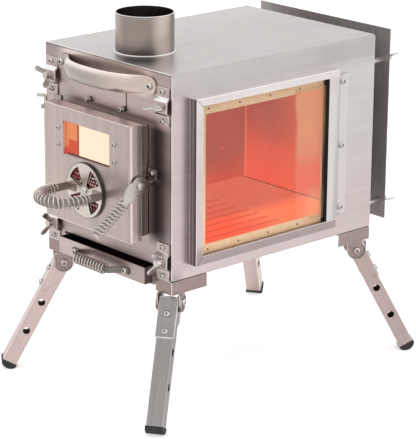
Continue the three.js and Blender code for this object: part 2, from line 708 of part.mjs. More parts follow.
// A wing bolt or nut on a seat, with its wings along a direction in the plate's plane. Outward is -1 on the
// front and +1 behind the shield.
function wings(x, z, seatY, outward, turn) {
  const blade = new THREE.Shape();
  blade.moveTo(0, 0);
  blade.lineTo(WING_HUB_RADIUS, 1);
  blade.lineTo(WING_SPAN - 1.5, WING_RISE - 6.5);
  blade.absarc(WING_SPAN - 3, WING_RISE - 3, 3, -Math.PI / 3, (Math.PI * 5) / 6);
  blade.lineTo(WING_HUB_RADIUS - 1.5, WING_HUB_LENGTH);
  blade.lineTo(0, WING_HUB_LENGTH);
  const matrix = (sign) =>
    new THREE.Matrix4().makeBasis(
      axis(sign * Math.cos(turn), 0, sign * Math.sin(turn)),
      axis(0, outward, 0),
      axis(sign * Math.cos(turn), 0, sign * Math.sin(turn)).cross(axis(0, outward, 0)),
    );
  const blades = [1, -1].map((sign) => {
    const geometry = new THREE.ExtrudeGeometry(blade, { depth: WING_THICKNESS, bevelEnabled: false, curveSegments: 4 });
    geometry.translate(0, 0, -WING_THICKNESS / 2);
    geometry.applyMatrix4(matrix(sign).setPosition(x, seatY, z));
    return solid(geometry);
  });
  return union([bar([x, seatY, z], [x, seatY + outward * WING_HUB_LENGTH, z], WING_HUB_RADIUS, FASTENER_SIDES, WING_HUB_RADIUS - 0.8), ...blades]);
}

const frontTurns = [-50, 8, 80, 70].map(radians);
clampPlaces.forEach(([word, x, z], i) => {
  add(
    `wing_bolt_${word}`,
    union([
      wings(x, z, CLAMP_FACE_Y, -1, frontTurns[i]),
      bar([x, CLAMP_FACE_Y, z], [x, rimBack + 3, z], SCREW_RADIUS),
    ]),
    zinc,
  );
});

const rearTurns = [20, 35, 0, 10].map(radians);
studPlaces.forEach(([word, x, z], i) => {
  add(
    `wing_nut_${word}`,
    cut(wings(x, z, SHIELD_BACK_Y, 1, rearTurns[i]), [
      bar([x, SHIELD_BACK_Y - 1, z], [x, SHIELD_BACK_Y + STUD_BEYOND + WING_RISE, z], BORE_RADIUS),
    ]),
    zinc,
  );
});

const handleTabY = FRONT_Y - HANDLE_TAB_THICKNESS / 2;
const handleStations = [
  [-HANDLE_FLAT_START, 0],
  [-56, 0.2],
  [-49, 0.48],
  [-39, 0.74],
  [-27, 0.9],
  [-14, 0.98],
  [0, 1],
  [14, 0.98],
  [27, 0.9],
  [39, 0.74],
  [49, 0.48],
  [56, 0.2],
  [HANDLE_FLAT_START, 0],
];
const handleReach = HANDLE_REACH - HANDLE_TAB_THICKNESS / 2;
const handlePath = handleStations.map(([x, share]) => axis(x, handleTabY - share * handleReach, HANDLE_Z));
function handleSection(along) {
  const swell = Math.min(1, Math.max(0, Math.min(along, 1 - along) * 5));
  const depth = THREE.MathUtils.lerp(HANDLE_TAB_THICKNESS, HANDLE_DEPTH, swell);
  const height = THREE.MathUtils.lerp(HANDLE_TAB_HEIGHT, HANDLE_HEIGHT, swell);
  const round = polygon(HANDLE_SIDES, 0.5 / Math.cos(Math.PI / HANDLE_SIDES));
  const flat = swell < 0.05 ? Math.sign : (value) => value;
  return round.map(([a, b]) => {
    const square = swell < 0.05 ? 0.5 * flat(a) : a;
    return [square * depth, b * height];
  });
}
function handleTab(side) {
  const shape = new THREE.Shape();
  const round = HANDLE_END - HANDLE_TAB_HEIGHT / 2;
  shape.moveTo(HANDLE_Z - HANDLE_TAB_HEIGHT / 2, side * (HANDLE_FLAT_START - 0.5));
  shape.lineTo(HANDLE_Z - HANDLE_TAB_HEIGHT / 2, side * round);
  for (let k = 1; k < 8; k++) {
    const angle = (Math.PI * k) / 8;
    shape.lineTo(HANDLE_Z - (HANDLE_TAB_HEIGHT / 2) * Math.cos(angle), side * (round + (HANDLE_TAB_HEIGHT / 2) * Math.sin(angle)));
  }
  shape.lineTo(HANDLE_Z + HANDLE_TAB_HEIGHT / 2, side * round);
  shape.lineTo(HANDLE_Z + HANDLE_TAB_HEIGHT / 2, side * (HANDLE_FLAT_START - 0.5));
  return extrude(shape, "y", FRONT_Y - HANDLE_TAB_THICKNESS, FRONT_Y);
}
add(
  "carry_handle",
  union([
    cut(sweep(handlePath, handleSection, axis(0, 0, 1)), [box(-80, 80, FRONT_Y, FRONT_Y + 20, 170, 220)]),
    handleTab(-1),
    handleTab(1),
    ...[-1, 1].map((side) => screwHead([side * HANDLE_SCREW_X, FRONT_Y - HANDLE_TAB_THICKNESS, HANDLE_Z], [0, -1, 0], 3.4, 2)),
  ]),
  polishedSteel,
);

// ---------------------------------------------------------------------------------------------------------
// Door hinge and latch catch, on the front plate

for (const [word, z] of [["upper", HINGE_UPPER_Z], ["lower", HINGE_LOWER_Z - HINGE_LUG_THICKNESS]]) {
  const lug = new THREE.Shape();
  lug.moveTo(HINGE_BASE_RIGHT, FRONT_Y);
  lug.lineTo(HINGE_BASE_LEFT, FRONT_Y);
  lug.lineTo(HINGE_PIN_X - HINGE_LUG_RADIUS, HINGE_PIN_Y);
  lug.absarc(HINGE_PIN_X, HINGE_PIN_Y, HINGE_LUG_RADIUS, Math.PI, 2 * Math.PI);
  lug.lineTo(HINGE_PIN_X + HINGE_LUG_RADIUS, HINGE_PIN_Y + 3);
  add(
    `hinge_bracket_${word}`,
    cut(
      union([
        extrude(lug, "z", z, z + HINGE_LUG_THICKNESS),
        box(HINGE_BASE_LEFT, HINGE_BASE_RIGHT, FRONT_Y - PLATE, FRONT_Y, z, z + HINGE_BASE_HEIGHT),
      ]),
      [bar([HINGE_PIN_X, HINGE_PIN_Y, z - 5], [HINGE_PIN_X, HINGE_PIN_Y, z + 5], HINGE_PIN_RADIUS)],
    ),
    brushedSteel,
  );
}

const pinBend = 3;
add(
  "hinge_pin",
  union([
    bar([HINGE_PIN_X, HINGE_PIN_Y, HINGE_PIN_BOTTOM], [HINGE_PIN_X, HINGE_PIN_Y, HINGE_PIN_TOP - pinBend], HINGE_PIN_RADIUS),
    sweep(
      [0, 30, 60, 90].map((degrees) =>
        axis(
          HINGE_PIN_X - pinBend * 0.8 * (1 - Math.cos(radians(degrees))),
          HINGE_PIN_Y - pinBend * 0.6 * (1 - Math.cos(radians(degrees))),
          HINGE_PIN_TOP - pinBend + pinBend * Math.sin(radians(degrees)) - 0.01 * (90 - degrees) / 90,
        ),
      ).concat([axis(HINGE_PIN_X - HINGE_PIN_BEND * 0.8, HINGE_PIN_Y - HINGE_PIN_BEND * 0.6, HINGE_PIN_TOP)]),
      () => polygon(FASTENER_SIDES, HINGE_PIN_RADIUS),
    ),
  ]),
  polishedSteel,
);

const catchZ = LATCH_TAIL_TOP + RUNNING_GAP;
const tailX = LATCH_X + LATCH_THICKNESS / 2;
add(
  "latch_catch",
  union([
    box(tailX - CATCH_WIDTH / 2, tailX + CATCH_WIDTH / 2, FRONT_Y - CATCH_REACH, FRONT_Y, catchZ, catchZ + PLATE),
    box(tailX - CATCH_WIDTH / 2, tailX + CATCH_WIDTH / 2, FRONT_Y - PLATE, FRONT_Y, catchZ, catchZ + CATCH_HEIGHT),
    screwHead([tailX, FRONT_Y - PLATE, catchZ + CATCH_HEIGHT / 2 + 1], [0, -1, 0], 2.6, 1.4),
  ]),
  brushedSteel,
);

// ---------------------------------------------------------------------------------------------------------
// Door

// The plan of the tray: its two front corners are rounded.
function trayPlan(halfX, faceY, backY, corner) {
  const plan = new THREE.Shape();
  plan.moveTo(halfX, backY);
  plan.lineTo(-halfX, backY);
  plan.lineTo(-halfX, faceY + corner);
  plan.absarc(-halfX + corner, faceY + corner, corner, Math.PI, 1.5 * Math.PI);
  plan.lineTo(halfX - corner, faceY);
  plan.absarc(halfX - corner, faceY + corner, corner, 1.5 * Math.PI, 2 * Math.PI);
  return plan;
}

// One of the damper's air openings, as a flat ring sector around the hub.
function sector(index, fromY, toY) {
  const middle = radians(45 + (360 / SECTOR_COUNT) * index);
  const half = radians(SECTOR_SWEEP / 2);
  const shape = new THREE.Shape();
  const steps = 5;
  for (let k = 0; k <= steps; k++) {
    const angle = middle - half + (2 * half * k) / steps;
    const point = [AIR_Z + SECTOR_OUTER * Math.sin(angle), SECTOR_OUTER * Math.cos(angle)];
    if (k === 0) shape.moveTo(...point);
    else shape.lineTo(...point);
  }
  for (const angle of [middle + half, middle - half]) {
    shape.lineTo(AIR_Z + SECTOR_INNER * Math.sin(angle), SECTOR_INNER * Math.cos(angle));
  }
  return extrude(shape, "y", fromY, toY);
}
const sectors = Array.from({ length: SECTOR_COUNT }, (_, index) => index);

const doorViewX = DOOR_VIEW_WIDTH / 2;
const earZ = [
  [HINGE_UPPER_Z - RUNNING_GAP - HINGE_LUG_THICKNESS, HINGE_UPPER_Z - RUNNING_GAP],
  [HINGE_LOWER_Z + RUNNING_GAP, HINGE_LOWER_Z + RUNNING_GAP + HINGE_LUG_THICKNESS],
];
const earPlan = new THREE.Shape();
earPlan.moveTo(-DOOR_X, HINGE_PIN_Y - HINGE_LUG_RADIUS);
earPlan.lineTo(-DOOR_X, HINGE_PIN_Y + HINGE_LUG_RADIUS - 1);
earPlan.lineTo(HINGE_PIN_X, HINGE_PIN_Y + HINGE_LUG_RADIUS);
earPlan.absarc(HINGE_PIN_X, HINGE_PIN_Y, HINGE_LUG_RADIUS, Math.PI / 2, 1.5 * Math.PI);

add(
  "door_shell",
  cut(
    union([
      cut(extrude(trayPlan(DOOR_X, DOOR_FACE_Y, TRAY_BACK_Y, DOOR_CORNER), "z", DOOR_BOTTOM, DOOR_TOP), [
        extrude(trayPlan(DOOR_X - SHEET, DOOR_INNER_Y, TRAY_BACK_Y + 1, DOOR_CORNER - SHEET), "z", DOOR_BOTTOM + SHEET, DOOR_TOP - SHEET),
      ]),
      ...earZ.map(([low, high]) => extrude(earPlan, "z", low, high)),
      ...[-1, 1].flatMap((side) =>
        GLAZING_SCREWS_Z.map((z) => screwHead([side * GLAZING_SCREW_X, DOOR_FACE_Y, z], [0, -1, 0], 2.2, 1.3)),
      ),
    ]),
    [
      box(-doorViewX, doorViewX, DOOR_FACE_Y - 1, DOOR_INNER_Y + 1, DOOR_VIEW_BOTTOM, DOOR_VIEW_TOP),
      ...sectors.map((index) => sector(index, DOOR_FACE_Y - 1, DOOR_INNER_Y + 1)),
      bar([0, DOOR_FACE_Y - 1, AIR_Z], [0, DOOR_INNER_Y + 1, AIR_Z], SCREW_RADIUS),
      bar([DOOR_X - 2, LATCH_Y, LATCH_Z], [DOOR_X + 1, LATCH_Y, LATCH_Z], SCREW_RADIUS),
      bar([HINGE_PIN_X, HINGE_PIN_Y, 0], [HINGE_PIN_X, HINGE_PIN_Y, 200], HINGE_PIN_RADIUS + RUNNING_GAP),
    ],
  ),
  brushedSteel,
);

const linerFront = TRAY_BACK_Y - SHEET;
add(
  "door_liner",
  cut(
    union([
      box(-DOOR_X + SHEET, DOOR_X - SHEET, linerFront, TRAY_BACK_Y, DOOR_BOTTOM + SHEET, DOOR_TOP - SHEET),
      box(-LINER_X, LINER_X, TRAY_BACK_Y, LINER_BACK_Y, LINER_BOTTOM, LINER_TOP),
    ]),
    [
      box(-LINER_X + SHEET, LINER_X - SHEET, linerFront - 1, LINER_BACK_Y - SHEET, LINER_BOTTOM + SHEET, LINER_TOP - SHEET),
      box(-LINER_X + LINER_RIM, LINER_X - LINER_RIM, LINER_BACK_Y - 5, LINER_BACK_Y + 1, LINER_BOTTOM + LINER_RIM, LINER_TOP - LINER_RIM),
    ],
  ),
  brushedSteel,
);

const doorGlassX = doorViewX + DOOR_GLASS_LAP;
const doorGlassZ = [DOOR_VIEW_BOTTOM - DOOR_GLASS_LAP, DOOR_VIEW_TOP + DOOR_GLASS_LAP];
const doorGlassY = DOOR_FACE_Y + DOOR_GLASS_RECESS;
const doorGlassBack = doorGlassY + DOOR_GLASS_THICKNESS;
add(
  "door_glass_gasket",
  cut(box(-doorGlassX, doorGlassX, DOOR_INNER_Y, doorGlassY, ...doorGlassZ), [
    box(-doorViewX, doorViewX, DOOR_INNER_Y - 1, doorGlassY + 1, DOOR_VIEW_BOTTOM, DOOR_VIEW_TOP),
  ]),
  gasketFibre,
);
add("door_glass", box(-doorGlassX, doorGlassX, doorGlassY, doorGlassBack, ...doorGlassZ), ceramicGlass);

const glazingX = doorGlassX + GLAZING_BORDER;
const glazingZ = [doorGlassZ[0] + 1.5 - GLAZING_BORDER + 5, doorGlassZ[1] + 6];
const glazingRim = 0.4;
add(
  "door_glazing_plate",
  cut(
    union([
      box(-glazingX, glazingX, doorGlassBack, doorGlassBack + SHEET, ...glazingZ),
      box(-doorGlassX - glazingRim - SHEET, doorGlassX + glazingRim + SHEET, DOOR_INNER_Y, doorGlassBack, doorGlassZ[0] - glazingRim - SHEET, doorGlassZ[1] + glazingRim + SHEET),
    ]),
    [
      box(-doorGlassX - glazingRim, doorGlassX + glazingRim, DOOR_INNER_Y - 1, doorGlassBack, doorGlassZ[0] - glazingRim, doorGlassZ[1] + glazingRim),
      box(-doorViewX, doorViewX, DOOR_INNER_Y, doorGlassBack + 5, DOOR_VIEW_BOTTOM, DOOR_VIEW_TOP),
    ],
  ),
  brushedSteel,
);

// The mesh plate is perforated only where the air openings uncover it.
function meshHoles() {
  const holes = [];
  const rows = Math.ceil(SECTOR_OUTER / MESH_PITCH);
  for (let i = -rows; i <= rows; i++) {
    for (let k = -rows; k <= rows; k++) {
      const x = (k + (i % 2 ? 0.5 : 0)) * MESH_PITCH;
      const z = i * MESH_PITCH * 0.87;
      const radius = Math.hypot(x, z);
      const turn = Math.abs(((THREE.MathUtils.radToDeg(Math.atan2(z, x)) + 360) % 90) - 45);
      if (radius > SECTOR_INNER + 1 && radius < SECTOR_OUTER - 0.5 && turn < SECTOR_SWEEP / 2 - 1) holes.push([x, z]);
    }
  }
  return holes;
}
const meshPlate = new THREE.Shape();
meshPlate.absarc(AIR_Z, 0, MESH_RADIUS, 0, 2 * Math.PI);
for (const [x, z] of meshHoles()) {
  const hole = new THREE.Path();
  polygon(8, MESH_HOLE_RADIUS).forEach(([a, b], k) => (k ? hole.lineTo(AIR_Z + z + a, x + b) : hole.moveTo(AIR_Z + z + a, x + b)));
  hole.closePath();
  meshPlate.holes.push(hole);
}
add(
  "air_mesh",
  cut(extrude(meshPlate, "y", DOOR_INNER_Y, DOOR_INNER_Y + MESH_THICKNESS, 16), [
    box(-MESH_RADIUS, MESH_RADIUS, DOOR_INNER_Y - 1, DOOR_INNER_Y + 3, AIR_Z + MESH_FLAT, AIR_Z + 2 * MESH_RADIUS),
    bar([0, DOOR_INNER_Y - 1, AIR_Z], [0, DOOR_INNER_Y + 3, AIR_Z], SCREW_RADIUS),
  ]),
  polishedSteel,
);

const meshBack = DOOR_INNER_Y + MESH_THICKNESS;
add(
  "damper_bolt",
  union([
    bar([0, DAMPER_FACE_Y - 0.2, AIR_Z], [0, meshBack + 1, AIR_Z], SCREW_RADIUS),
    bar([0, DAMPER_FACE_Y - 0.2, AIR_Z], [0, DAMPER_FACE_Y - 2.8, AIR_Z], 4.6, FASTENER_SIDES, 3.4),
    bar([0, meshBack, AIR_Z], [0, meshBack + 4, AIR_Z], 4.5, 6),
  ]),
  zinc,
);

add(
  "latch_bolt",
  union([
    bar([DOOR_X - 4, LATCH_Y, LATCH_Z], [LATCH_X + LATCH_THICKNESS + 1, LATCH_Y, LATCH_Z], SCREW_RADIUS),
    bar([DOOR_X - SHEET - 3, LATCH_Y, LATCH_Z], [DOOR_X - SHEET, LATCH_Y, LATCH_Z], 4.4, 6),
    bar([DOOR_X, LATCH_Y, LATCH_Z], [LATCH_X - 0.2, LATCH_Y, LATCH_Z], 5),
    bar([LATCH_X + LATCH_THICKNESS + 0.2, LATCH_Y, LATCH_Z], [LATCH_X + LATCH_THICKNESS + 2.9, LATCH_Y, LATCH_Z], 4.4, FASTENER_SIDES, 3),
  ]),
  zinc,
);

// ---------------------------------------------------------------------------------------------------------
// Air damper

const damperBack = DOOR_FACE_Y - RUNNING_GAP;
add(
  "damper_disc",
  cut(bar([0, damperBack, AIR_Z], [0, DAMPER_FACE_Y, AIR_Z], DAMPER_RADIUS, 40), [
    bar([0, damperBack + 1, AIR_Z], [0, DAMPER_FACE_Y + DAMPER_SHEET, AIR_Z], DAMPER_RADIUS - DAMPER_SHEET, 40),
    bar([0, damperBack + 2, AIR_Z], [0, DAMPER_FACE_Y - 2, AIR_Z], BORE_RADIUS),
    ...sectors.map((index) => sector(index, DAMPER_FACE_Y - 1, damperBack + 1)),
  ]),
  polishedSteel,
);

// The handle's centre line in plan: two feet on the disc, two legs and a half-round bow.
function bowPoint(share) {
  const arc = Math.PI * DAMPER_GRIP_SPREAD;
  const total = arc + 2 * DAMPER_COIL_OVERRUN;
  const along = share * total - DAMPER_COIL_OVERRUN;
  if (along < 0) return { centre: axis(DAMPER_GRIP_SPREAD, BOW_Y - along, AIR_Z), inward: axis(-1, 0, 0) };
  if (along > arc) return { centre: axis(-DAMPER_GRIP_SPREAD, BOW_Y + along - arc, AIR_Z), inward: axis(1, 0, 0) };
  const angle = along / DAMPER_GRIP_SPREAD;
  const outward = axis(Math.cos(angle), -Math.sin(angle), 0);
  return { centre: axis(0, BOW_Y, AIR_Z).addScaledVector(outward, DAMPER_GRIP_SPREAD), inward: outward.negate() };
}
const halfGrip = GRIP_THICKNESS / 2;
const bowOuter = Array.from({ length: 15 }, (_, k) => {
  const angle = (Math.PI * k) / 14;
  const reach = DAMPER_GRIP_SPREAD + halfGrip;
  return [reach * Math.cos(angle), BOW_Y - reach * Math.sin(angle)];
});
const legX = DAMPER_GRIP_SPREAD + halfGrip;
const footX = DAMPER_GRIP_SPREAD - DAMPER_GRIP_FOOT;
const gripStrip = [
  [footX, DAMPER_FACE_Y],
  [legX, DAMPER_FACE_Y],
  ...bowOuter,
  [-legX, DAMPER_FACE_Y],
  [-footX, DAMPER_FACE_Y],
];
const damperGrip = extrude(bentStrip(gripStrip.toReversed(), GRIP_THICKNESS), "z", AIR_Z - GRIP_WIDTH / 2, AIR_Z + GRIP_WIDTH / 2);
add("damper_handle", damperGrip, polishedSteel);
add(
  "damper_coil",
  cut(
    coil(Math.PI * DAMPER_GRIP_SPREAD + 2 * DAMPER_COIL_OVERRUN, (share) => ({ ...bowPoint(share), width: axis(0, 0, 1) })),
    [damperGrip],
  ),
  zinc,
);

// ---------------------------------------------------------------------------------------------------------
// Door latch, drawn in the plane beside the door

const droop = radians(LATCH_DROOP);
const alongGrip = axis(0, -Math.cos(droop), -Math.sin(droop));
const acrossGrip = axis(0, -Math.sin(droop), Math.cos(droop));
const latchPoint = (along, across) => [
  LATCH_Y + along * alongGrip.y + across * acrossGrip.y,
  LATCH_Z + along * alongGrip.z + across * acrossGrip.z,
];
const gripEnd = LATCH_NECK + LATCH_GRIP;
const gripHalf = 3.4;
const gripBar = outline([
  latchPoint(6, -5.4),
  latchPoint(LATCH_NECK - 4, -5.6),
  latchPoint(LATCH_NECK + 1, -gripHalf),
  latchPoint(gripEnd + 0.5, -gripHalf),
  latchPoint(gripEnd + 0.5, gripHalf),
  latchPoint(LATCH_NECK + 2, gripHalf),
  latchPoint(LATCH_NECK - 8, 9.3),
  latchPoint(4, 9.3),
]);
const latchLever = cut(
  union([
    extrude(circleShape(LATCH_Y, LATCH_Z, LATCH_HEAD_RADIUS), "x", LATCH_X, LATCH_X + LATCH_THICKNESS, 14),
    extrude(gripBar, "x", LATCH_X, LATCH_X + LATCH_THICKNESS),
    box(LATCH_X, LATCH_X + LATCH_THICKNESS, LATCH_Y, LATCH_Y + LATCH_TAIL, LATCH_TAIL_BOTTOM, LATCH_TAIL_TOP),
  ]),
  [bar([LATCH_X - 1, LATCH_Y, LATCH_Z], [LATCH_X + LATCH_THICKNESS + 1, LATCH_Y, LATCH_Z], BORE_RADIUS)],
);
add("latch_lever", latchLever, polishedSteel);
add(
  "latch_coil",
  cut(
    coil(LATCH_GRIP, (share) => {
      const [y, z] = latchPoint(LATCH_NECK + 2 + share * (LATCH_GRIP - 2.5), 0);
      return { centre: axis(LATCH_X + LATCH_THICKNESS / 2, y, z), inward: axis(1, 0, 0), width: acrossGrip };
    }),
    [latchLever],
  ),
  zinc,
);

// ---------------------------------------------------------------------------------------------------------
// Ash drawer

const drawerBack = DRAWER_FACE_Y + DRAWER_LENGTH;
add(
  "ash_drawer",
  cut(box(-DRAWER_X, DRAWER_X, DRAWER_FACE_Y, drawerBack, DRAWER_BOTTOM, DRAWER_TOP), [
    box(-DRAWER_X + SHEET, DRAWER_X - SHEET, DRAWER_FACE_Y + SHEET, drawerBack - SHEET, DRAWER_BOTTOM + SHEET, DRAWER_TOP + 1),
  ]),
  brushedSteel,
);

const drawerStrip = [
  [-DRAWER_TAB_END, DRAWER_FACE_Y],
  [-DRAWER_TAB_START, DRAWER_FACE_Y],
  [-DRAWER_BAR, DRAWER_FACE_Y - DRAWER_GRIP_REACH],
  [DRAWER_BAR, DRAWER_FACE_Y - DRAWER_GRIP_REACH],
  [DRAWER_TAB_START, DRAWER_FACE_Y],
  [DRAWER_TAB_END, DRAWER_FACE_Y],
];
const drawerGripZ = [DRAWER_GRIP_Z - DRAWER_GRIP_WIDTH / 2, DRAWER_GRIP_Z + DRAWER_GRIP_WIDTH / 2];
const drawerGrip = extrude(bentStrip(drawerStrip.toReversed(), GRIP_THICKNESS), "z", ...drawerGripZ);
add(
  "drawer_handle",
  union([
    drawerGrip,
    ...[-1, 1].map((side) => screwHead([side * DRAWER_SCREW_X, DRAWER_FACE_Y - GRIP_THICKNESS, DRAWER_GRIP_Z], [0, -1, 0], 3.2, 1.7)),
  ]),
  polishedSteel,
);
add(
  "drawer_coil",
  cut(
    coil(2 * DRAWER_COIL_HALF, (share) => ({
      centre: axis((1 - 2 * share) * DRAWER_COIL_HALF, DRAWER_FACE_Y - DRAWER_GRIP_REACH - GRIP_THICKNESS / 2, DRAWER_GRIP_Z),
      inward: axis(0, 1, 0),
      width: axis(0, 0, 1),
    })),
    [drawerGrip],
  ),
  zinc,
);

// ---------------------------------------------------------------------------------------------------------
// Legs. A leg is drawn in its own frame: u along the pivot pin, n towards its outer face, s down the leg.

// Plane x takes (n, s) points here, because the leg's frame replaces the stove's.
const sleeveEnd = SLEEVE_LENGTH;
const cheek = new THREE.Shape();
cheek.moveTo(LEG_N + SLEEVE_THICKNESS, SLEEVE_START);
cheek.lineTo(LEG_N + SLEEVE_THICKNESS, sleeveEnd);
cheek.lineTo(LEG_N - 3.5, sleeveEnd);
cheek.bezierCurveTo(LEG_N - 8, sleeveEnd - 1, LEG_N - 6, sleeveEnd - 15, -LEG_N, sleeveEnd - 17.5);
cheek.lineTo(-LEG_N, 0);
cheek.absarc(0, 0, CHEEK_RADIUS, Math.PI, 1.7 * Math.PI);

const tube = cut(box(-LEG_U, LEG_U, -LEG_N, LEG_N, LEG_TUBE_START, LEG_LENGTH - FOOT_HEIGHT), [
  box(-LEG_U + LEG_WALL, LEG_U - LEG_WALL, -LEG_N + LEG_WALL, LEG_N - LEG_WALL, LEG_TUBE_START - 1, LEG_LENGTH),
  ...LEG_HOLES.map((s) => bar([-LEG_U - 1, 0, s], [LEG_U + 1, 0, s], LEG_HOLE_RADIUS, 16)),
]);
const cheekBlock = cut(extrude(cheek, "x", -CHEEK_U, CHEEK_U), [
  box(-LEG_U, LEG_U, -LEG_N - 20, LEG_N, -20, LEG_LENGTH),
  bar([-CHEEK_U - 1, 0, 0], [CHEEK_U + 1, 0, 0], BORE_RADIUS),
]);
const legTube = union([
  tube,
  cheekBlock,
  ...SLEEVE_SCREWS.map((s) => screwHead([0, LEG_N + SLEEVE_THICKNESS, s], [0, 1, 0], 3.3, 1.9)),
]);

// The foot caps the tube with a D-shaped end and a plug that fills the tube's mouth.
const footShape = new THREE.Shape();
const footTop = LEG_LENGTH - FOOT_HEIGHT;
footShape.moveTo(FOOT_N, footTop - 0.01);
footShape.absellipse(0, footTop, FOOT_N, FOOT_HEIGHT, 0, Math.PI);
const foot = union([
  extrude(footShape, "x", -LEG_U - FOOT_PROUD, LEG_U + FOOT_PROUD, 16),
  box(-LEG_U + LEG_WALL, LEG_U - LEG_WALL, -LEG_N + LEG_WALL, LEG_N - LEG_WALL, footTop - 10, footTop + 1),
]).subtract(box(-50, 50, -50, 50, footTop - 30, footTop).subtract(box(-LEG_U + LEG_WALL, LEG_U - LEG_WALL, -LEG_N + LEG_WALL, LEG_N - LEG_WALL, footTop - 31, footTop + 1)));

const splay = radians(LEG_SPLAY);
const heading = radians(LEG_HEADING);
const corners = [
  ["front_left", -1, -1],
  ["front_right", 1, -1],
  ["rear_left", -1, 1],
  ["rear_right", 1, 1],
];
for (const [word, sideX, sideY] of corners) {
  const outward = axis(sideX * Math.sin(heading), sideY * Math.cos(heading), 0);
  const down = outward.clone().multiplyScalar(Math.sin(splay)).add(axis(0, 0, -Math.cos(splay)));
  const out = outward.clone().multiplyScalar(Math.cos(splay)).add(axis(0, 0, Math.sin(splay)));
  const pin = out.clone().cross(down);
  const pivot = axis(sideX * LEG_PIVOT_X, sideY * LEG_PIVOT_Y, -LEG_PIVOT_DROP);
  const legFrame = new THREE.Matrix4().makeBasis(pin, out, down).setPosition(pivot);

  add(`leg_${word}`, legTube, brushedSteel, legFrame);
  add(`foot_${word}`, foot, rubber, legFrame);

  // The bracket caps the firebox's bottom corner. Its ears hang in the leg's own plane.
  const cornerX = sideX * SIDE_X;
  const cornerY = sideY * BACK_Y;
  const span = (edge, length, side) => (side > 0 ? [edge - length, edge] : [edge, edge + length]);
  const capX = span(cornerX, BRACKET_WIDTH, sideX);
  const capY = span(cornerY, BRACKET_LENGTH, sideY);
  const cap = union([
    box(...capX, ...capY, -PLATE, 0),
    box(...span(cornerX, PLATE, sideX), ...capY, -BRACKET_HEIGHT, 0),
    box(...capX, ...span(cornerY, PLATE, sideY), -BRACKET_HEIGHT, 0),
  ]);
  const within = ([low, high]) => [low + 0.3, high - 0.3];
  const room = box(...within(capX), ...within(capY), -BRACKET_HEIGHT - 1, -0.3);
  const earShape = new THREE.Shape();
  earShape.moveTo(EAR_RADIUS, 0);
  earShape.lineTo(EAR_RADIUS, LEG_PIVOT_DROP);
  earShape.lineTo(-EAR_RADIUS, LEG_PIVOT_DROP);
  earShape.lineTo(-EAR_RADIUS, 0);
  earShape.absarc(0, 0, EAR_RADIUS, Math.PI, 2 * Math.PI);
  const upright = new THREE.Matrix4().makeBasis(pin, axis(0, 0, 1).cross(pin), axis(0, 0, 1)).setPosition(pivot);
  const placed = (shape) => solid(toGeometry(shape, upright));
  const ears = union(
    [-1, 1].map((end) => {
      const low = end > 0 ? EAR_U : -EAR_U - EAR_THICKNESS;
      return placed(extrude(earShape, "x", low, low + EAR_THICKNESS));
    }),
  );
  const below = box(-200, 200, -250, 250, -100, -BRACKET_HEIGHT);
  const reach = EAR_U + EAR_THICKNESS;
  const pins = placed(
    union([
      bar([-reach - 1, 0, 0], [reach + 1, 0, 0], SCREW_RADIUS),
      ...[-1, 1].map((end) => screwHead([end * reach, 0, 0], [end, 0, 0], PIVOT_HEAD_RADIUS, PIVOT_HEAD_HEIGHT)),
      ...[-1, 1].map((end) => screwHead([end * reach, 0, -LOCK_OFFSET + 0.8], [end, 0, 0], 2.2, 1.6)),
    ]),
  );
  add(`leg_bracket_${word}`, union([cap, ears.intersect(union([room, below])), pins]), brushedSteel);
}

// The origin goes to the ground, under the middle of the outer box.
const outer = new THREE.Box3().setFromObject(stove);
stove.position.set(-(outer.min.x + outer.max.x) / 2, -(outer.min.y + outer.max.y) / 2, -outer.min.z);

export default stove;
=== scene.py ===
"""Tent wood stove: finished sheet-metal pieces, springs, screws, glass, fire glow, studio and camera, built
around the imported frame. Lengths in the code are millimetres in the stove's own frame: X to the right, Y from
the door to the back with zero in the middle, Z above the firebox floor. at() gives such a place in the row
frame, in metres."""

import json
import math
from functools import cached_property

import bpy
from mathutils import Matrix, Vector

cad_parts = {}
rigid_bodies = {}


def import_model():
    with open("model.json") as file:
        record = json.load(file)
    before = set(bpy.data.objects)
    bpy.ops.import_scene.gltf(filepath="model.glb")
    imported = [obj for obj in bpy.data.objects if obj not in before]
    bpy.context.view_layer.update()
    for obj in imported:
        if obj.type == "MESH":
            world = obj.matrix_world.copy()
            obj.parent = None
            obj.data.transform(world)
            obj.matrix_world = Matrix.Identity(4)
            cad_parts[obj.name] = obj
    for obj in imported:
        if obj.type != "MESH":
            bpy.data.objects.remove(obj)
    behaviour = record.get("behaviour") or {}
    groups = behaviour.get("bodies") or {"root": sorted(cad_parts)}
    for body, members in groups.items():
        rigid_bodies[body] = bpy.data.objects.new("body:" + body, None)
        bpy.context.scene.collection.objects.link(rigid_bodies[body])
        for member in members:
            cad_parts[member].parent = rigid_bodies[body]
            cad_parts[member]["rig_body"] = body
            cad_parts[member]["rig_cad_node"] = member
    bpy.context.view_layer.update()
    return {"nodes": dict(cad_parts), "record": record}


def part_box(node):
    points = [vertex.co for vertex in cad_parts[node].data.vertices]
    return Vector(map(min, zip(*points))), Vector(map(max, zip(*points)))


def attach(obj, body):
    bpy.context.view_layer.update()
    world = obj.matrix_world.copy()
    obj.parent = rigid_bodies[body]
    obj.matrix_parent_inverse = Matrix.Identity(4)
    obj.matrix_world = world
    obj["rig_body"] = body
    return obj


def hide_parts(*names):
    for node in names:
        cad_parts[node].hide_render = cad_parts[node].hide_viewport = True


bl_info = {
    "name": "Tent wood stove",
    "version": (1, 0, 0),
    "blender": (4, 5, 0),
    "location": "View3D > Sidebar > Stove",
    "description": "Finishes a tent stove: sheet metal, springs, screws, windows, fire glow and studio",
    "category": "Object",
}

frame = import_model()
BODY_OF = {node: body for body, nodes in frame["record"]["behaviour"]["bodies"].items() for node in nodes}

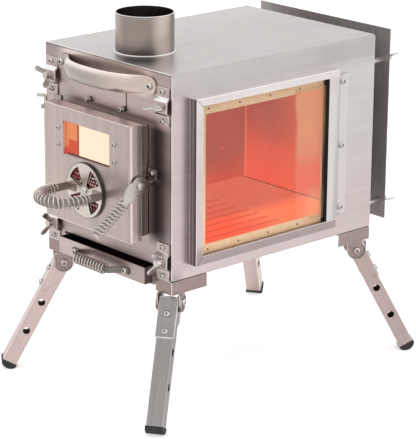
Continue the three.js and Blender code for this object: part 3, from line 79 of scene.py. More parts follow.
MM = 0.001
SHELL_LOW, SHELL_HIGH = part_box("firebox_shell")
SHIFT = Vector((0, (SHELL_LOW.y + SHELL_HIGH.y) / 2, SHELL_LOW.z))  # the stove's own frame in the row frame

# Places of the frame's parts, in millimetres
SIDE_X, FRONT_Y, FIREBOX_TOP = 100.0, -142.5, 213.0
INSIDE_X, INSIDE_Y, INSIDE_BOTTOM, INSIDE_TOP = 99.2, 142.0, 1.1, 211.9
OPENING_X, OPENING_BOTTOM, OPENING_TOP = 54.5, 48.0, 151.0
SLOT_X, SLOT_MIDDLE = 30.8, 173.7
PLATE_BOLT = (27.0, 165.4)
FLUE_Y, FLUE_RADIUS, FLUE_TOP = -92.0, 30.2, 253.6
FRAME_START, FRAME_BOTTOM, FRAME_TOP = -118.8, 14.2, 186.6
RAIL_Y, RAIL_SCREWS = 93.3, (33.0, 101.2, 170.4)
CLAMP_LEVELS, CLAMP_HANDS = {"upper": 179.7, "lower": 20.1}, {"left": -88.0, "right": 88.0}
DOOR_FACE_Y, DOOR_MIDDLE, DOOR_OPENINGS, AIR_Z = -170.0, 100.0, 60.0, 79.7
GLAZING_EDGE, REVEAL_GLOW_X, GLASS_Z = (-46.0, -36.0), -55.5, 119.0
DAMPER_FACE_Y, BOW_RADIUS, BOW_LEG = DOOR_FACE_Y - 3, 26.0, 25.0
LATCH_X, LATCH_Y, LATCH_Z, LATCH_DROOP = 70.5, -160.0, 98.2, 35.4
DRAWER_FACE_Y, DRAWER_GRIP_Z = -152.0, 0.5
HANDLE_Z, HANDLE_TAB_Y, HANDLE_AXIS_Y = 197.0, FRONT_Y - 1.2, FRONT_Y - 22.5
HANDLE_FLAT, HANDLE_END = 66.0, 78.0
LEG_PIVOT = (87.6, 133.0, -24.5)
LEG_SPLAY, LEG_HEADING = 28.1, 34.8
CORNERS = {"front_left": (-1, -1), "front_right": (1, -1), "rear_left": (-1, 1), "rear_right": (1, 1)}
GREY_LEG = "front_right"
SIDES, FORWARD = (-1, 1), (0, -1, 0)

# How the photograph was taken: degrees, metres in the row frame, and millimetres of lens on a 36 mm sensor
VIEW_AZIMUTH, VIEW_ELEVATION, VIEW_ROLL = 47.8827, 17.5749, 0.3930
VIEW_PLACE, VIEW_LENS = (1.547605, -1.385256, 0.819486), 167.0526


def at(x, y, z):
    """A place of the stove's own frame, in the row frame."""
    return Vector((x, y, z)) * MM + SHIFT


def linear(red, green, blue):
    """A screen colour of 0 to 255 as linear light."""
    shares = (red / 255, green / 255, blue / 255)
    return tuple(v / 12.92 if v <= 0.04 else ((v + 0.055) / 1.055) ** 2.4 for v in shares)


# -------------------------------------------------------------------------------- sizes, colours


def colour_property(name, description, screen):
    return bpy.props.FloatVectorProperty(
        name=name, description=description, default=linear(*screen), subtype="COLOR", size=3, min=0.0, max=1.0
    )


def length_property(name, description, default):
    return bpy.props.FloatProperty(
        name=name, description=description, default=default * MM, min=0.0, unit="LENGTH", precision=4
    )


class StoveColours(bpy.types.PropertyGroup):
    """Colours of the stove's finishes."""

    casing: colour_property("Casing", "Brushed steel of the casing, windows and legs", (212, 207, 206))
    # The front's steel is the casing's, darker and rosier with painted shade and painted reflection, as it
    # faces away from the light
    front: colour_property("Front", "Steel of the front plate, door and ash drawer", (202, 186, 183))
    polished: colour_property("Polished", "Finer steel of the flue, grips and disc", (222, 214, 208))
    shield: colour_property("Shield", "Dark satin steel of the rear heat shield", (138, 132, 132))
    zinc: colour_property("Zinc", "Plated screws, wing bolts and spring wire", (232, 230, 226))
    rubber: colour_property("Rubber", "Moulded caps on the feet", (48, 48, 54))
    gasket: colour_property("Gasket", "Woven tape around the windows", (255, 238, 214))
    glass: colour_property("Glass", "What each face of the window glass lets through", (253, 246, 239))
    # The edge colour is a painted highlight on rounded edges
    edge: colour_property("Edge", "Bright metal on the sheet's rounded edges", (246, 243, 241))
    # The ember, wall and flare colours are the fire's glow, painted on as emission
    ember: colour_property("Ember", "Glow of the firebox floor", (255, 96, 72))
    wall: colour_property("Hot wall", "Glow of the firebox's upper walls", (172, 90, 85))
    flare: colour_property("Flare", "Brightest patches of the glow", (255, 206, 160))


class StoveSizes(bpy.types.PropertyGroup):
    """Small sizes that finish the stove's pieces."""

    sheet_edge: length_property("Sheet edge", "Radius on the edges of the sheet metal", 0.3)
    casing_corner: length_property("Casing corner", "Radius of the casing's long bends", 2.0)
    wire_radius: length_property("Wire radius", "Radius of the spring wire around the grips", 0.82)
    coil_radius: length_property("Coil radius", "Middle of the coil to the middle of its wire", 5.4)
    coil_pitch: length_property("Coil pitch", "Distance between the turns of a coil", 4.5)
    screw_rise: length_property("Screw rise", "How far a screw's rounded head covers the frame's head", 0.7)
    glow_strength: bpy.props.FloatProperty(
        name="Glow strength", description="Strength of the fire's glow in the firebox", default=1.0, min=0.0
    )


# -------------------------------------------------------------------------------- shader maths


class Field:
    """A number, place or colour that changes over a surface. Arithmetic on it adds Math nodes."""

    def __init__(self, surface, socket):
        self.surface = surface
        self.socket = socket

    def maths(self, operation, *others):
        """A Math node whose first value is this field."""
        return self.surface.node("ShaderNodeMath", {"operation": operation}, dict(enumerate((self, *others))))

    def __add__(self, other):
        return self.maths("ADD", other)

    def __sub__(self, other):
        return self.maths("SUBTRACT", other)

    def __rsub__(self, other):
        return -self + other

    def __mul__(self, other):
        return self.maths("MULTIPLY", other)

    def __neg__(self):
        return self.maths("MULTIPLY", -1.0)

    def __abs__(self):
        return self.maths("ABSOLUTE")

    __radd__ = __add__
    __rmul__ = __mul__

    def least(self, other):
        return self.maths("MINIMUM", other)

    def most(self, other):
        return self.maths("MAXIMUM", other)

    def towards(self, goal, share):
        """This field, moved by a share of the way to a goal."""
        return self + (goal - self) * share

    def output(self, index):
        return Field(self.surface, self.socket.node.outputs[index])


class Surface:
    """A material, or the world, whose shader is written as expressions."""

    def __init__(self, name="", tree=None):
        self.material = None
        if tree is None:
            self.material = bpy.data.materials.new(name)
            self.material.use_nodes = True
            tree = self.material.node_tree
        self.tree = tree
        self.tree.nodes.clear()

    def node(self, kind, settings=None, sockets=None, output=0):
        """Adds a node: its settings first, then the values or links of its sockets."""
        made = self.tree.nodes.new(kind)
        for key, value in (settings or {}).items():
            setattr(made, key, value)
        for key, value in (sockets or {}).items():
            socket = made.inputs[key]
            if isinstance(value, Field):
                self.tree.links.new(value.socket, socket)
            elif socket.type == "RGBA" and len(value) == 3:
                socket.default_value = (*value, 1.0)
            else:
                socket.default_value = value
        return Field(self, made.outputs[output]) if made.outputs else made

    def place(self):
        """Object coordinates, which are the row frame's metres on every piece."""
        return self.node("ShaderNodeTexCoord", output=3)

    def part_of(self, vector, axis):
        return self.node("ShaderNodeSeparateXYZ", sockets={0: vector}).output(axis)

    def along(self, axis):
        """A place along one axis, in millimetres of the stove's own frame."""
        return (self.part_of(self.place(), axis) - SHIFT[axis]) * (1 / MM)

    x = cached_property(lambda self: self.along(0))
    y = cached_property(lambda self: self.along(1))
    z = cached_property(lambda self: self.along(2))

    def facing(self, axis):
        """How much the surface looks along an axis, from -1 to 1."""
        return self.part_of(self.node("ShaderNodeNewGeometry", output=1), axis)

    def stretched(self, scale, turn=(0.0, 0.0, 0.0)):
        """Object coordinates turned back by an Euler turn and then scaled."""
        return self.node(
            "ShaderNodeMapping",
            {"vector_type": "TEXTURE"},
            {"Vector": self.place(), "Rotation": turn, "Scale": tuple(1 / s for s in scale)},
        )

    def noise(self, place, scale, detail=3.0, roughness=0.55):
        sockets = {"Vector": place, "Scale": scale, "Detail": detail, "Roughness": roughness}
        return self.node("ShaderNodeTexNoise", sockets=sockets)

    def speckle(self, scale, detail=3.0, roughness=0.55):
        """Noise that is as fine in every direction."""
        return self.noise(self.place(), scale, detail, roughness)

    def spread(self, value, low, high, to_low=0.0, to_high=1.0):
        """A value moved smoothly from one range to another, and held there."""
        return self.node(
            "ShaderNodeMapRange",
            {"interpolation_type": "SMOOTHSTEP"},
            {"Value": value, "From Min": low, "From Max": high, "To Min": to_low, "To Max": to_high},
        )

    def blend(self, share, first, second):
        """One colour turning into another."""
        return self.node("ShaderNodeMix", {"data_type": "RGBA"}, {0: share, 6: first, 7: second}, output=2)

    def dimmed(self, colour, share):
        return self.node("ShaderNodeVectorMath", {"operation": "SCALE"}, {0: colour, 3: share})

    def bump(self, height, strength, distance):
        """Relief whose depth is in millimetres."""
        sockets = {"Height": height, "Strength": strength, "Distance": distance * MM}
        return self.node("ShaderNodeBump", sockets=sockets)

    def finish(self, **sockets):
        """The shader itself, on the material's output. Socket names are written with underscores."""
        sockets = {name.replace("_", " "): value for name, value in sockets.items()}
        shader = self.node("ShaderNodeBsdfPrincipled", sockets=sockets)
        self.node("ShaderNodeOutputMaterial", sockets={0: shader})
        return self.material


def colours():
    return bpy.context.scene.stove_colours


def sizes():
    return bpy.context.scene.stove_sizes


def once(make):
    """A material that is made at its first use, on a surface of its own, and shared after that."""

    def shared(*words):
        name = "_".join([make.__name__, *words])
        return bpy.data.materials.get(name) or make(Surface(name), *words)

    return shared


# -------------------------------------------------------------------------------- materials

GRAINS = {  # how much finer the brushing is across each axis than along it
    "along_x": (5.0, 900.0, 900.0),
    "along_y": (900.0, 5.0, 900.0),
    "along_z": (900.0, 900.0, 5.0),
    "around_z": (7.0, 7.0, 420.0),
    "plain": (260.0, 260.0, 260.0),
    "soft": (30.0, 110.0, 110.0),
}
STRAW, ROSE = (1.0, 0.93, 0.87), (1.0, 0.875, 0.88)  # what warmth and handling do to steel's colour
VIEW_ACROSS = (0.67, 0.74)  # the photograph's rightward direction, along x and y
# Painted light: each leg's sheet is lighter or darker by how the light falls on it
LEG_LIGHT = {"front_left": 1.08, "front_right": 0.54, "rear_left": 1.2, "rear_right": 0.88}


def coarse(grain):
    """The same brushing as broad sweeps."""
    return [min(v, 120.0) if v > 100 else v * 0.5 for v in GRAINS[grain]]


def sheet_metal(
    s,
    tint,
    grain,
    roughness,
    streak=0.16,
    cloud=0.14,
    warmth=0.35,
    shade=1.0,
    blush=0.0,
    metallic=1.0,
    turn=(0.0, 0.0, 0.0),
):
    """Stainless sheet: fine brushing, faint clouds of wiping marks and a straw tint where it has been warm.
    A shade darkens or lightens it by place, as tone and as painted light and shade, and a blush turns it
    rosy, as heat and handling do."""
    brushing = s.noise(s.stretched(GRAINS[grain], turn), 1.0, 3.0, 0.65)
    sweep = s.noise(s.stretched(coarse(grain), turn), 1.0, 2.0)
    marks = s.speckle(22.0, 4.0, 0.6)
    warm = s.spread(s.speckle(9.0, 2.0), 0.42, 0.7, 0.0, warmth)
    tone = 1.0 + (brushing - 0.5) * streak + (marks - 0.5) * cloud + (sweep - 0.5) * streak * 1.6
    straw, rosy = (tuple(t * w for t, w in zip(tint, change)) for change in (STRAW, ROSE))
    steel = s.blend(warm, s.blend(blush, tuple(tint), rosy), straw)
    return s.finish(
        Base_Color=s.dimmed(steel, tone * shade),
        Metallic=metallic,
        Roughness=roughness + (brushing - 0.5) * 0.16 + (marks - 0.5) * 0.12,
        Normal=s.bump(brushing, 0.10, 0.12),
    )


@once
def casing_steel(s, grain):
    return sheet_metal(s, colours().casing, grain, 0.38)


def beside_flue(s):
    """How far right of the flue's middle a place is in the photograph's view."""
    return s.x * VIEW_ACROSS[0] + (s.y - FLUE_Y) * VIEW_ACROSS[1]


@once
def shell_steel(s):
    """The casing's sheet, with painted light and shade: a painted highlight towards the top's left, painted
    shade above the windows, and a painted reflection of the flue darkening the lid in front of it.
    """
    # Painted light and shade on the sides: darker above the windows and towards the back, lighter along the
    # bottom, darker at the lower front corner
    side = 0.94 - s.spread(s.z, 180.0, 196.0) * 0.14 - s.spread(s.y, 30.0, 90.0) * 0.05
    side = side + s.spread(s.z, 14.0, 4.0) * 0.05
    side = side - s.spread(s.y, -122.0, -138.0) * s.spread(s.z, 16.0, 2.0) * 0.3
    # Painted reflection of the flue: the lid is dark in front of it
    ahead = s.x * VIEW_ACROSS[1] - (s.y - FLUE_Y) * VIEW_ACROSS[0]
    flue_reflection = s.spread(abs(beside_flue(s) + 3.0), 28.0, 6.0)
    flue_reflection = flue_reflection * s.spread(ahead, 0.0, 20.0) * s.spread(ahead, 74.0, 46.0)
    lid = s.spread(s.x, -100.0, 10.0, 0.93, 0.84) * (1.0 - flue_reflection * 0.72)
    shade = side.towards(lid, s.spread(s.z, 212.2, 212.9))
    low = s.spread(s.z, 120.0, 10.0).most(s.spread(s.y, -108.0, -122.0) * s.spread(s.z, 212.9, 170.0) * 0.9)
    blush = low * s.spread(s.speckle(12.0), 0.2, 0.6, 0.6, 1.0)
    return sheet_metal(s, colours().casing, "along_y", 0.36, 0.12, 0.2, 0.2, shade, blush)


@once
def frame_steel(s):
    """The window frames' sheet: its end towards the door carries painted reflection in dark stripes, its top
    edge a painted highlight and its lower part painted shade. Its corners are mitred.
    """
    out = abs(s.x)
    along = s.y - FRAME_START
    # Painted shade low down and painted light near the top; painted reflection in stripes on the end towards
    # the door
    face = s.spread(s.z, 24.0, 40.0, 0.62, 1.0) + s.spread(s.z, 160.0, 182.0) * 0.1
    stripes = 0.36 + s.spread(abs(out - 104.5), 1.6, 0.5) * 0.2 - s.spread(abs(out - 107.6), 1.2, 0.2) * 0.18
    tone = face.towards(stripes, s.spread(s.y, FRAME_START + 0.5, FRAME_START + 0.2))
    # A painted highlight along the top edge
    lid = s.spread(s.z, FRAME_TOP - 0.9, FRAME_TOP - 0.4) * 0.4
    joint = abs(along - (s.z - FRAME_BOTTOM)).least(abs(along - (FRAME_TOP - s.z)))
    mitre = s.spread(joint, 0.7, 0.2) * s.spread(along, 9.3, 8.8) * s.spread(out, 109.0, 109.5)
    shade = (tone + lid) * (1.0 - mitre * 0.8)
    blush = s.spread(s.z, 70.0, 14.0).most(s.spread(s.y, -100.0, -108.0) * s.spread(s.z, 180.0, 60.0) * 0.8)
    return sheet_metal(s, colours().casing, "along_y", 0.34, 0.12, 0.24, shade=shade, blush=blush)


@once
def front_steel(s, grain):
    shade, blush = (0.6, 0.7) if grain == "plain" else (0.76, 0.0)
    return sheet_metal(s, colours().front, grain, 0.36, cloud=0.34, shade=shade, blush=blush)


@once
def front_plate_steel(s):
    """The plate behind the door, with painted light and shade: painted reflection of the door's side darkens
    it beside the door, painted light and shade lie behind the carry handle, a painted shade line runs just
    above the door, and it is darker below the door.
    """
    # Painted light and shade behind the carry handle; a painted shade line just above the door; darker below
    # it
    upper = s.spread(s.x, -84.0, -60.0, 0.7, 1.5) - s.spread(s.x, 50.0, 78.0) * 0.75
    middle = 0.94 - s.spread(abs(s.z - 161.0), 4.0, 1.0) * 0.12
    tone = middle.towards(upper, s.spread(s.z, 181.0, 188.0))
    tone = tone.towards(0.8, s.spread(s.z, 60.0, 34.0) * s.spread(s.z, 110.0, 90.0))
    # Painted reflection of the door's side, dark beside the door
    beside = 0.16 + s.spread(abs(s.x - 80.0), 3.0, 17.0) * 0.3
    right = s.spread(s.x, 62.0, 68.0) * s.spread(s.z, 160.0, 152.0) * s.spread(s.z, 30.0, 44.0)
    return sheet_metal(s, colours().front, "along_x", 0.32, 0.2, 0.34, shade=tone.towards(beside, right))


@once
def clamp_steel(s):
    """Clamp straps: a painted highlight on their steps that look up, and painted shade on the faces that look
    down.
    """
    step = s.facing(2)
    shade = 0.9 + s.spread(step, 0.25, 0.6) * 0.5 - s.spread(-step, 0.25, 0.6) * 0.6
    return sheet_metal(s, colours().front, "along_x", 0.3, shade=shade)


@once
def glazing_steel(s):
    """The plate that holds the door's glass: near black along its hinge side."""
    shade = 0.05 + s.spread(s.x, -36.0, -32.0) * 0.8
    return sheet_metal(s, colours().front, "along_x", 0.5, shade=shade)


@once
def drawer_steel(s):
    """The ash drawer's sheet: painted shade towards its right and on its right side."""
    shade = 0.98 - s.spread(s.x, -50.0, 60.0) * 0.2 - s.spread(s.x, 68.8, 69.2) * 0.4
    return sheet_metal(s, colours().front, "along_x", 0.34, shade=shade)


@once
def door_steel(s):
    """The door's sheet, with painted light and shade: painted shade towards the latch, painted light in bands
    on its sides and a painted highlight on its lid.
    """
    # Painted shade towards the latch, painted light in bands on the sides and a painted highlight on the lid
    face = 0.95 - s.spread(s.x, -30.0, 60.0) * 0.08
    side = s.spread(s.y, -168.5, -156.0, 1.6, 1.15) + s.spread(abs(s.y + 161.0), 2.0, 0.5) * 0.3
    shade = face.towards(side, s.spread(s.x, 67.6, 68.3)).towards(1.6, s.spread(s.z, 159.0, 159.6))
    return sheet_metal(s, colours().front, "along_z", 0.34, 0.26, 0.3, shade=shade)


@once
def leg_steel(s, corner):
    """The legs' sheet, brushed along each leg, each one lighter or darker with painted light. One leg is
    greyer than the others.
    """
    pin, out, down = leg_axes(corner)[1:]
    tint, warmth, blush = (colours().front, 0.35, 0.35) if corner != GREY_LEG else (colours().casing, 0.1, 0.0)
    turn = tuple(towards_axes(down, out, pin).to_euler())
    return sheet_metal(s, tint, "along_x", 0.34, 0.24, 0.3, warmth, LEG_LIGHT[corner], blush, turn=turn)


@once
def polished_steel(s, grain):
    return sheet_metal(s, colours().polished, grain, 0.24, 0.12, 0.16, shade=0.78)


@once
def handle_steel(s):
    """The carry handle's tube, warm and rosier towards its right end, with painted light and shade: a painted
    highlight along its top, lighter towards the right, painted shade beneath and behind, and a painted dark
    mark at a small dent.
    """
    up, back = s.facing(2), s.facing(1)
    # A painted highlight along the top, painted shade beneath and behind, and a painted dark mark at a small
    # dent
    ridge = s.spread(up, 0.2, 0.62) * s.spread(abs(s.x), 64.0, 50.0)
    under = s.spread(up, -0.15, -0.6) * s.spread(abs(s.x), 60.0, 40.0)
    dent = s.spread(abs(s.x - 40.0) * 0.22 + abs(s.z - 190.0 - (s.x - 40.0) * 0.05), 3.2, 0.6)
    body = 0.66 + s.spread(s.x, 10.0, 50.0) * 0.26 - under * 0.24
    shade = body.towards(1.28, ridge) * (1.0 - s.spread(back, 0.1, 0.6) * 0.45) * (1.0 - dent * 0.65)
    return sheet_metal(s, colours().polished, "soft", 0.24, 0.14, 0.3, 0.6, shade, s.spread(s.x, -10.0, 40.0))


@once
def grip_steel(s):
    """Dull strap steel inside the drawer's coil."""
    return sheet_metal(s, colours().polished, "plain", 0.42, shade=0.3)


@once
def bow_steel(s):
    """The damper's strap, brown-grey from heat."""
    return sheet_metal(s, colours().polished, "plain", 0.4, warmth=0.9, shade=0.5)


@once
def disc_steel(s):
    """The damper's disc: bright face, and a painted dark reflection on its rim."""
    high = s.z - AIR_Z
    radius = (s.x * s.x + high * high).maths("SQRT")
    shade = 0.98 - s.spread(radius, 28.0, 28.5) * 0.84
    return sheet_metal(s, colours().polished, "along_x", 0.3, shade=shade)


@once
def mesh_steel(s):
    """The mesh behind the damper: dark wires with the fire's red glow painted on as emission, and bright dots
    of painted light at their crossings.
    """
    pitch = 0.785  # radians to a millimetre, for a dot every 4 mm
    dots = (s.x * pitch).maths("SINE") * ((s.z - AIR_Z) * pitch).maths("SINE")
    light = s.spread(abs(dots), 0.62, 0.85)
    red = s.spread(s.speckle(60.0, 2.0), 0.35, 0.65)
    return s.finish(
        Base_Color=s.blend(light, linear(44, 14, 20), linear(236, 206, 204)),
        Metallic=0.3,
        Roughness=0.5,
        Emission_Color=s.dimmed(linear(150, 34, 50), red * (1.0 - light) * 0.4),
        Emission_Strength=sizes().glow_strength,
    )


@once
def flue_steel(s):
    """The flue's tube: brown-grey outside with bands of painted reflection that run up it, dark inside."""
    behind = s.y - FLUE_Y
    inside = s.spread((s.x * s.x + behind * behind).maths("SQRT"), 29.9, 29.5)
    # Painted reflection in bands that run up the tube, darker low down on its left
    across = beside_flue(s) + s.noise(s.stretched((60.0, 60.0, 12.0)), 1.0, 2.0) * 5.0 - 2.5
    rise = 0.45 + s.spread(across, -19.0, -26.0) * 0.16 + s.spread(across, 5.0, 17.0) * 0.33
    rise = rise - s.spread(across, 24.0, 28.0) * 0.36
    rise = rise * (1.0 - s.spread(s.z, 228.0, 215.0) * s.spread(across, 18.0, 8.0) * 0.5)
    shade = rise.towards(0.16, inside)
    return sheet_metal(s, colours().polished, "around_z", 0.3, 0.14, 0.3, 1.0, shade, 0.45)


@once
def satin_sheet(s):
    """The heat shield's dark satin sheet, with painted light on the side that faces the casing."""
    shade = 0.74 + s.spread(-s.facing(1), 0.2, 0.7) * 0.86
    return sheet_metal(s, colours().shield, "along_z", 0.42, 0.3, 0.5, shade=shade, metallic=0.45)


@once
def bright_edge(s):
    """Bright metal with a painted highlight, for rounded edges that catch the light."""
    return sheet_metal(s, colours().edge, "plain", 0.22, 0.06, 0.08, 0.0)


@once
def zinc_plate(s):
    """Bright plating with a slightly pitted skin, with painted shade where it looks down."""
    pits, marks = s.speckle(900.0, 2.0), s.speckle(60.0, 3.0)
    shade = 0.5 + s.spread(s.facing(2), -0.5, 0.75) * 0.5 + marks * 0.14
    return s.finish(
        Base_Color=s.dimmed(tuple(colours().zinc), shade),
        Metallic=1.0,
        Roughness=0.16 + marks * 0.16,
        Normal=s.bump(pits, 0.12, 0.1),
    )


@once
def spring_wire(s):
    """Hard-drawn wire, straw-brown from heat, with painted shade on its underside."""
    shade = 0.56 + s.spread(s.facing(2), -0.3, 0.7) * 0.54
    return sheet_metal(s, colours().polished, "plain", 0.22, cloud=0.5, warmth=1.0, shade=shade)


@once
def socket_black(s):
    """The shaded bottom of a screw's socket."""
    mottle = s.speckle(700.0, 2.0)
    return s.finish(Base_Color=s.dimmed((0.03, 0.027, 0.025), 0.5 + mottle), Metallic=0.6, Roughness=0.6)


@once
def slot_black(s):
    """Painted shade: black behind the front plate's narrow slot, in its bolt holes and opening, and on the
    retainers' inner walls.
    """
    mottle = s.speckle(500.0, 2.0)
    return s.finish(Base_Color=s.dimmed((0.012, 0.011, 0.011), 0.6 + mottle * 0.8), Roughness=0.9)


@once
def foot_rubber(s):
    """Moulded rubber with a fine grain and dust on it."""
    grain = s.speckle(1400.0, 2.0)
    dust = s.spread(s.speckle(90.0, 4.0), 0.5, 0.8)
    return s.finish(
        Base_Color=s.blend(dust * 0.5, tuple(colours().rubber), (0.09, 0.088, 0.09)),
        Roughness=0.62 + grain * 0.2,
        Normal=s.bump(grain, 0.25, 0.15),
    )


@once
def gasket_tape(s):
    """Woven tape, held by small dark rivets near its opening, with painted light that makes it lighter low
    down and painted shade under the retainer.
    """
    weave = (s.y * 4.2).maths("SINE") * (s.z * 4.2).maths("SINE")
    fray = s.speckle(130.0, 4.0)
    # Rivets in rows along the four sides of the opening
    row_y = abs(abs(s.y + 17.5) - 87.2)
    row_z = abs(abs(s.z - 99.4) - 73.0)
    along_y = abs((s.y + 12.0).maths("WRAP", 21.0, -21.0))
    along_z = abs((s.z - 84.0).maths("WRAP", 22.0, -22.0))
    near = (row_z * row_z + along_y * along_y).least(row_y * row_y + along_z * along_z)
    rivet = s.spread(near, 0.9, 1.7, 1.0, 0.0)
    # Painted light: the tape is lighter low down
    tape = (0.86 + fray * 0.28 + weave * 0.05) * s.spread(s.z, 60.0, 140.0, 1.2, 0.93)
    cloth = s.blend(rivet, s.dimmed(tuple(colours().gasket), tape), linear(96, 76, 56))
    # Painted shade under the retainer, towards the back
    return s.finish(
        Base_Color=s.dimmed(cloth, s.spread(s.y, 64.2, 65.6, 1.0, 0.04)),
        Roughness=0.85,
        Normal=s.bump(weave * 0.5 + fray, 0.3, 0.3),
    )


@once
def door_gasket(s):
    """The thin seal in front of the door's glass: dark along its hinge side, with a painted glow of the fire's
    light on that side's edge.
    """
    fray = s.speckle(300.0, 4.0)
    soot = s.spread(s.x + fray, -34.0, -37.0)
    glow = s.blend(s.spread(s.z, 115.5, 117.5), linear(212, 86, 66), linear(232, 140, 98))
    return s.finish(
        Base_Color=s.dimmed(s.blend(soot, linear(206, 188, 178), linear(14, 10, 10)), 0.8 + fray * 0.4),
        Roughness=0.85,
        Normal=s.bump(fray, 0.2, 0.2),
        Emission_Color=s.dimmed(glow, soot * s.spread(s.x, -40.2, -39.7) * (0.8 + fray * 0.3)),
        Emission_Strength=sizes().glow_strength,
    )


@once
def window_glass(s):
    """Thin heat-resistant glass: it tints what is seen through it and carries a faint haze. A painted flare of
    the fire's light lies on the rear part of the right-hand pane."""
    drift = s.speckle(16.0, 3.0)
    upper = s.spread(s.y + drift * 16.0, 30.0, 34.0) * s.spread(s.z + drift * 30.0, 96.0, 136.0, 0.2, 1.0)
    lower = s.spread(s.y + drift * 30.0, 40.0, 62.0) * s.spread(s.z + drift * 40.0, 96.0, 60.0) * 0.9
    pane = s.spread(s.x, 0.0, 1.0) * s.spread(abs(s.z - 99.4), 73.0, 71.0) * s.spread(s.y, 67.0, 66.0)
    flare = upper.most(lower) * pane
    haze = s.spread(s.speckle(14.0, 4.0), 0.3, 0.8, 0.015, 0.05) + flare * 0.3
    tint = s.blend(flare, (0.9, 0.8, 0.66), tuple(colours().flare))
    shader = s.node("ShaderNodeBsdfPrincipled", sockets={"Base Color": tint, "Roughness": 0.04})
    clear = s.node("ShaderNodeBsdfTransparent", sockets={"Color": tuple(colours().glass)})
    glass = s.node("ShaderNodeMixShader", sockets={0: haze, 1: clear, 2: shader})
    s.node("ShaderNodeOutputMaterial", sockets={0: glass})
    return s.material


@once
def hot_steel(s, part):
    """Firebox lining with the fire's glow painted on as emission. The part says which surface it is."""
    wall, ember = tuple(colours().wall), tuple(colours().ember)
    soot = s.speckle(24.0, 5.0, 0.65)
    flicker = s.noise(s.stretched((3.0, 3.0, 26.0)), 1.0, 3.0)
    if part == "floor":
        streaks = s.noise(s.stretched((90.0, 4.0, 4.0)), 1.0, 3.0)
        glow = s.blend(s.spread(s.y + flicker * 30.0, 20.0, 70.0), ember, linear(255, 126, 92))
        glow = s.blend(s.spread(s.x + flicker * 12.0, 32.0, -8.0) * 0.85, glow, linear(200, 98, 86))
        glow = s.blend(s.spread(s.y + flicker * 40.0, -50.0, -90.0) * 0.6, glow, linear(196, 100, 90))
        strength = 0.92 + soot * 0.14 + streaks * 0.22
    elif part == "back":
        glow = s.blend(s.spread(s.z + flicker * 26.0, 120.0, 30.0), wall, linear(236, 96, 80))
        glow = s.blend(s.spread(s.x, -60.0, 10.0) * 0.5, glow, linear(240, 118, 96))
        glow = s.blend(s.spread(s.x, -95.0, -96.5) * 0.5, glow, linear(250, 140, 120))
        strength = 0.9 + soot * 0.2
    elif part == "reveal":
        glow = s.blend(s.spread(s.z, 115.5, 117.5), linear(218, 90, 70), linear(238, 152, 108))
        strength = (0.92 + soot * 0.16) * s.spread(s.x, -35.0, -36.0)
    elif part == "bed":
        glow = s.blend(soot, linear(216, 84, 70), linear(240, 100, 80))
        strength = s.spread(s.facing(2), 0.4, 0.8)
    # Painted shade inside the ash drawer: a near-black base with a faint glow
    elif part == "ash":
        glow = s.blend(soot, ember, linear(170, 70, 60))
        strength = s.spread(s.y, -72.0, -56.0) * 0.03
    else:
        glow = s.blend(s.spread(s.z + flicker * 24.0, 60.0, 14.0), wall, linear(214, 88, 76))
        glow = s.blend(s.spread(s.speckle(70.0, 1.0), 0.69, 0.75), glow, linear(255, 120, 84))
        strength = 0.9 + soot * 0.2
    if part in ("floor", "wall", "back"):
        strength = strength * s.spread(s.z, 12.9, 13.6) * s.spread(s.y, -141.0, -138.0)
    base = linear(12, 13, 18) if part == "ash" else linear(56, 32, 28)
    return s.finish(
        Base_Color=s.dimmed(base, 0.6 + soot * 0.6),
        Roughness=0.7,
        Emission_Color=s.dimmed(glow, strength),
        Emission_Strength=sizes().glow_strength,
    )


# -------------------------------------------------------------------------------- modelling


def select_only(*pieces):
    """Selects these pieces and nothing else, in object mode."""
    if bpy.context.object and bpy.context.object.mode != "OBJECT":
        bpy.ops.object.mode_set(mode="OBJECT")
    bpy.ops.object.select_all(action="DESELECT")
    for piece in pieces:
        piece.select_set(True)
    bpy.context.view_layer.objects.active = pieces[0]


def edit(piece, kind="FACE"):
    """Enters edit mode on one piece with nothing selected."""
    select_only(piece)
    bpy.ops.object.mode_set(mode="EDIT")
    bpy.ops.mesh.select_mode(type=kind)
    bpy.ops.mesh.select_all(action="DESELECT")


def object_mode():
    bpy.ops.object.mode_set(mode="OBJECT")


def pick(piece, kind, test):
    """Selects the vertices, edges or faces that pass a test, from edit mode."""
    object_mode()
    mesh = piece.data
    for group in (mesh.vertices, mesh.edges, mesh.polygons):
        group.foreach_set("select", [False] * len(group))
    for item in {"VERT": mesh.vertices, "EDGE": mesh.edges, "FACE": mesh.polygons}[kind]:
        item.select = test(item)
    bpy.ops.object.mode_set(mode="EDIT")


def modify(piece, kind, **settings):
    """Adds a modifier and applies it."""
    select_only(piece)
    modifier = piece.modifiers.new(kind.lower(), kind)
    for key, value in settings.items():
        setattr(modifier, key, value)
    bpy.ops.object.modifier_apply(modifier=modifier.name)


def smooth(piece, degrees=35):
    """Smooth shading that keeps real corners, with normals that lie along the large faces."""
    select_only(piece)
    bpy.ops.object.shade_smooth_by_angle(angle=math.radians(degrees))
    modify(piece, "WEIGHTED_NORMAL", keep_sharp=True, weight=60)


def towards_axes(x, y, z):
    """The turn that lays a piece's own axes along three directions."""
    return Matrix((x, y, z)).transposed()


def settle(piece):
    """Puts a piece's place, turn and size into its mesh, so that its object sits at the origin."""
    select_only(piece)
    bpy.ops.object.transform_apply(location=True, rotation=True, scale=True)


def join(pieces, name):
    select_only(*pieces)
    if len(pieces) > 1:
        bpy.ops.object.join()
    whole = bpy.context.object
    whole.name = name
    settle(whole)
    return whole


def copy(piece):
    select_only(piece)
    bpy.ops.object.duplicate()
    made = bpy.context.object
    if made.data is piece.data:
        made.data = piece.data.copy()
    return made


def delete(*pieces):
    select_only(*pieces)
    bpy.ops.object.delete()


def paint(piece, *materials):
    piece.data.materials.clear()
    for material in materials:
        piece.data.materials.append(material)


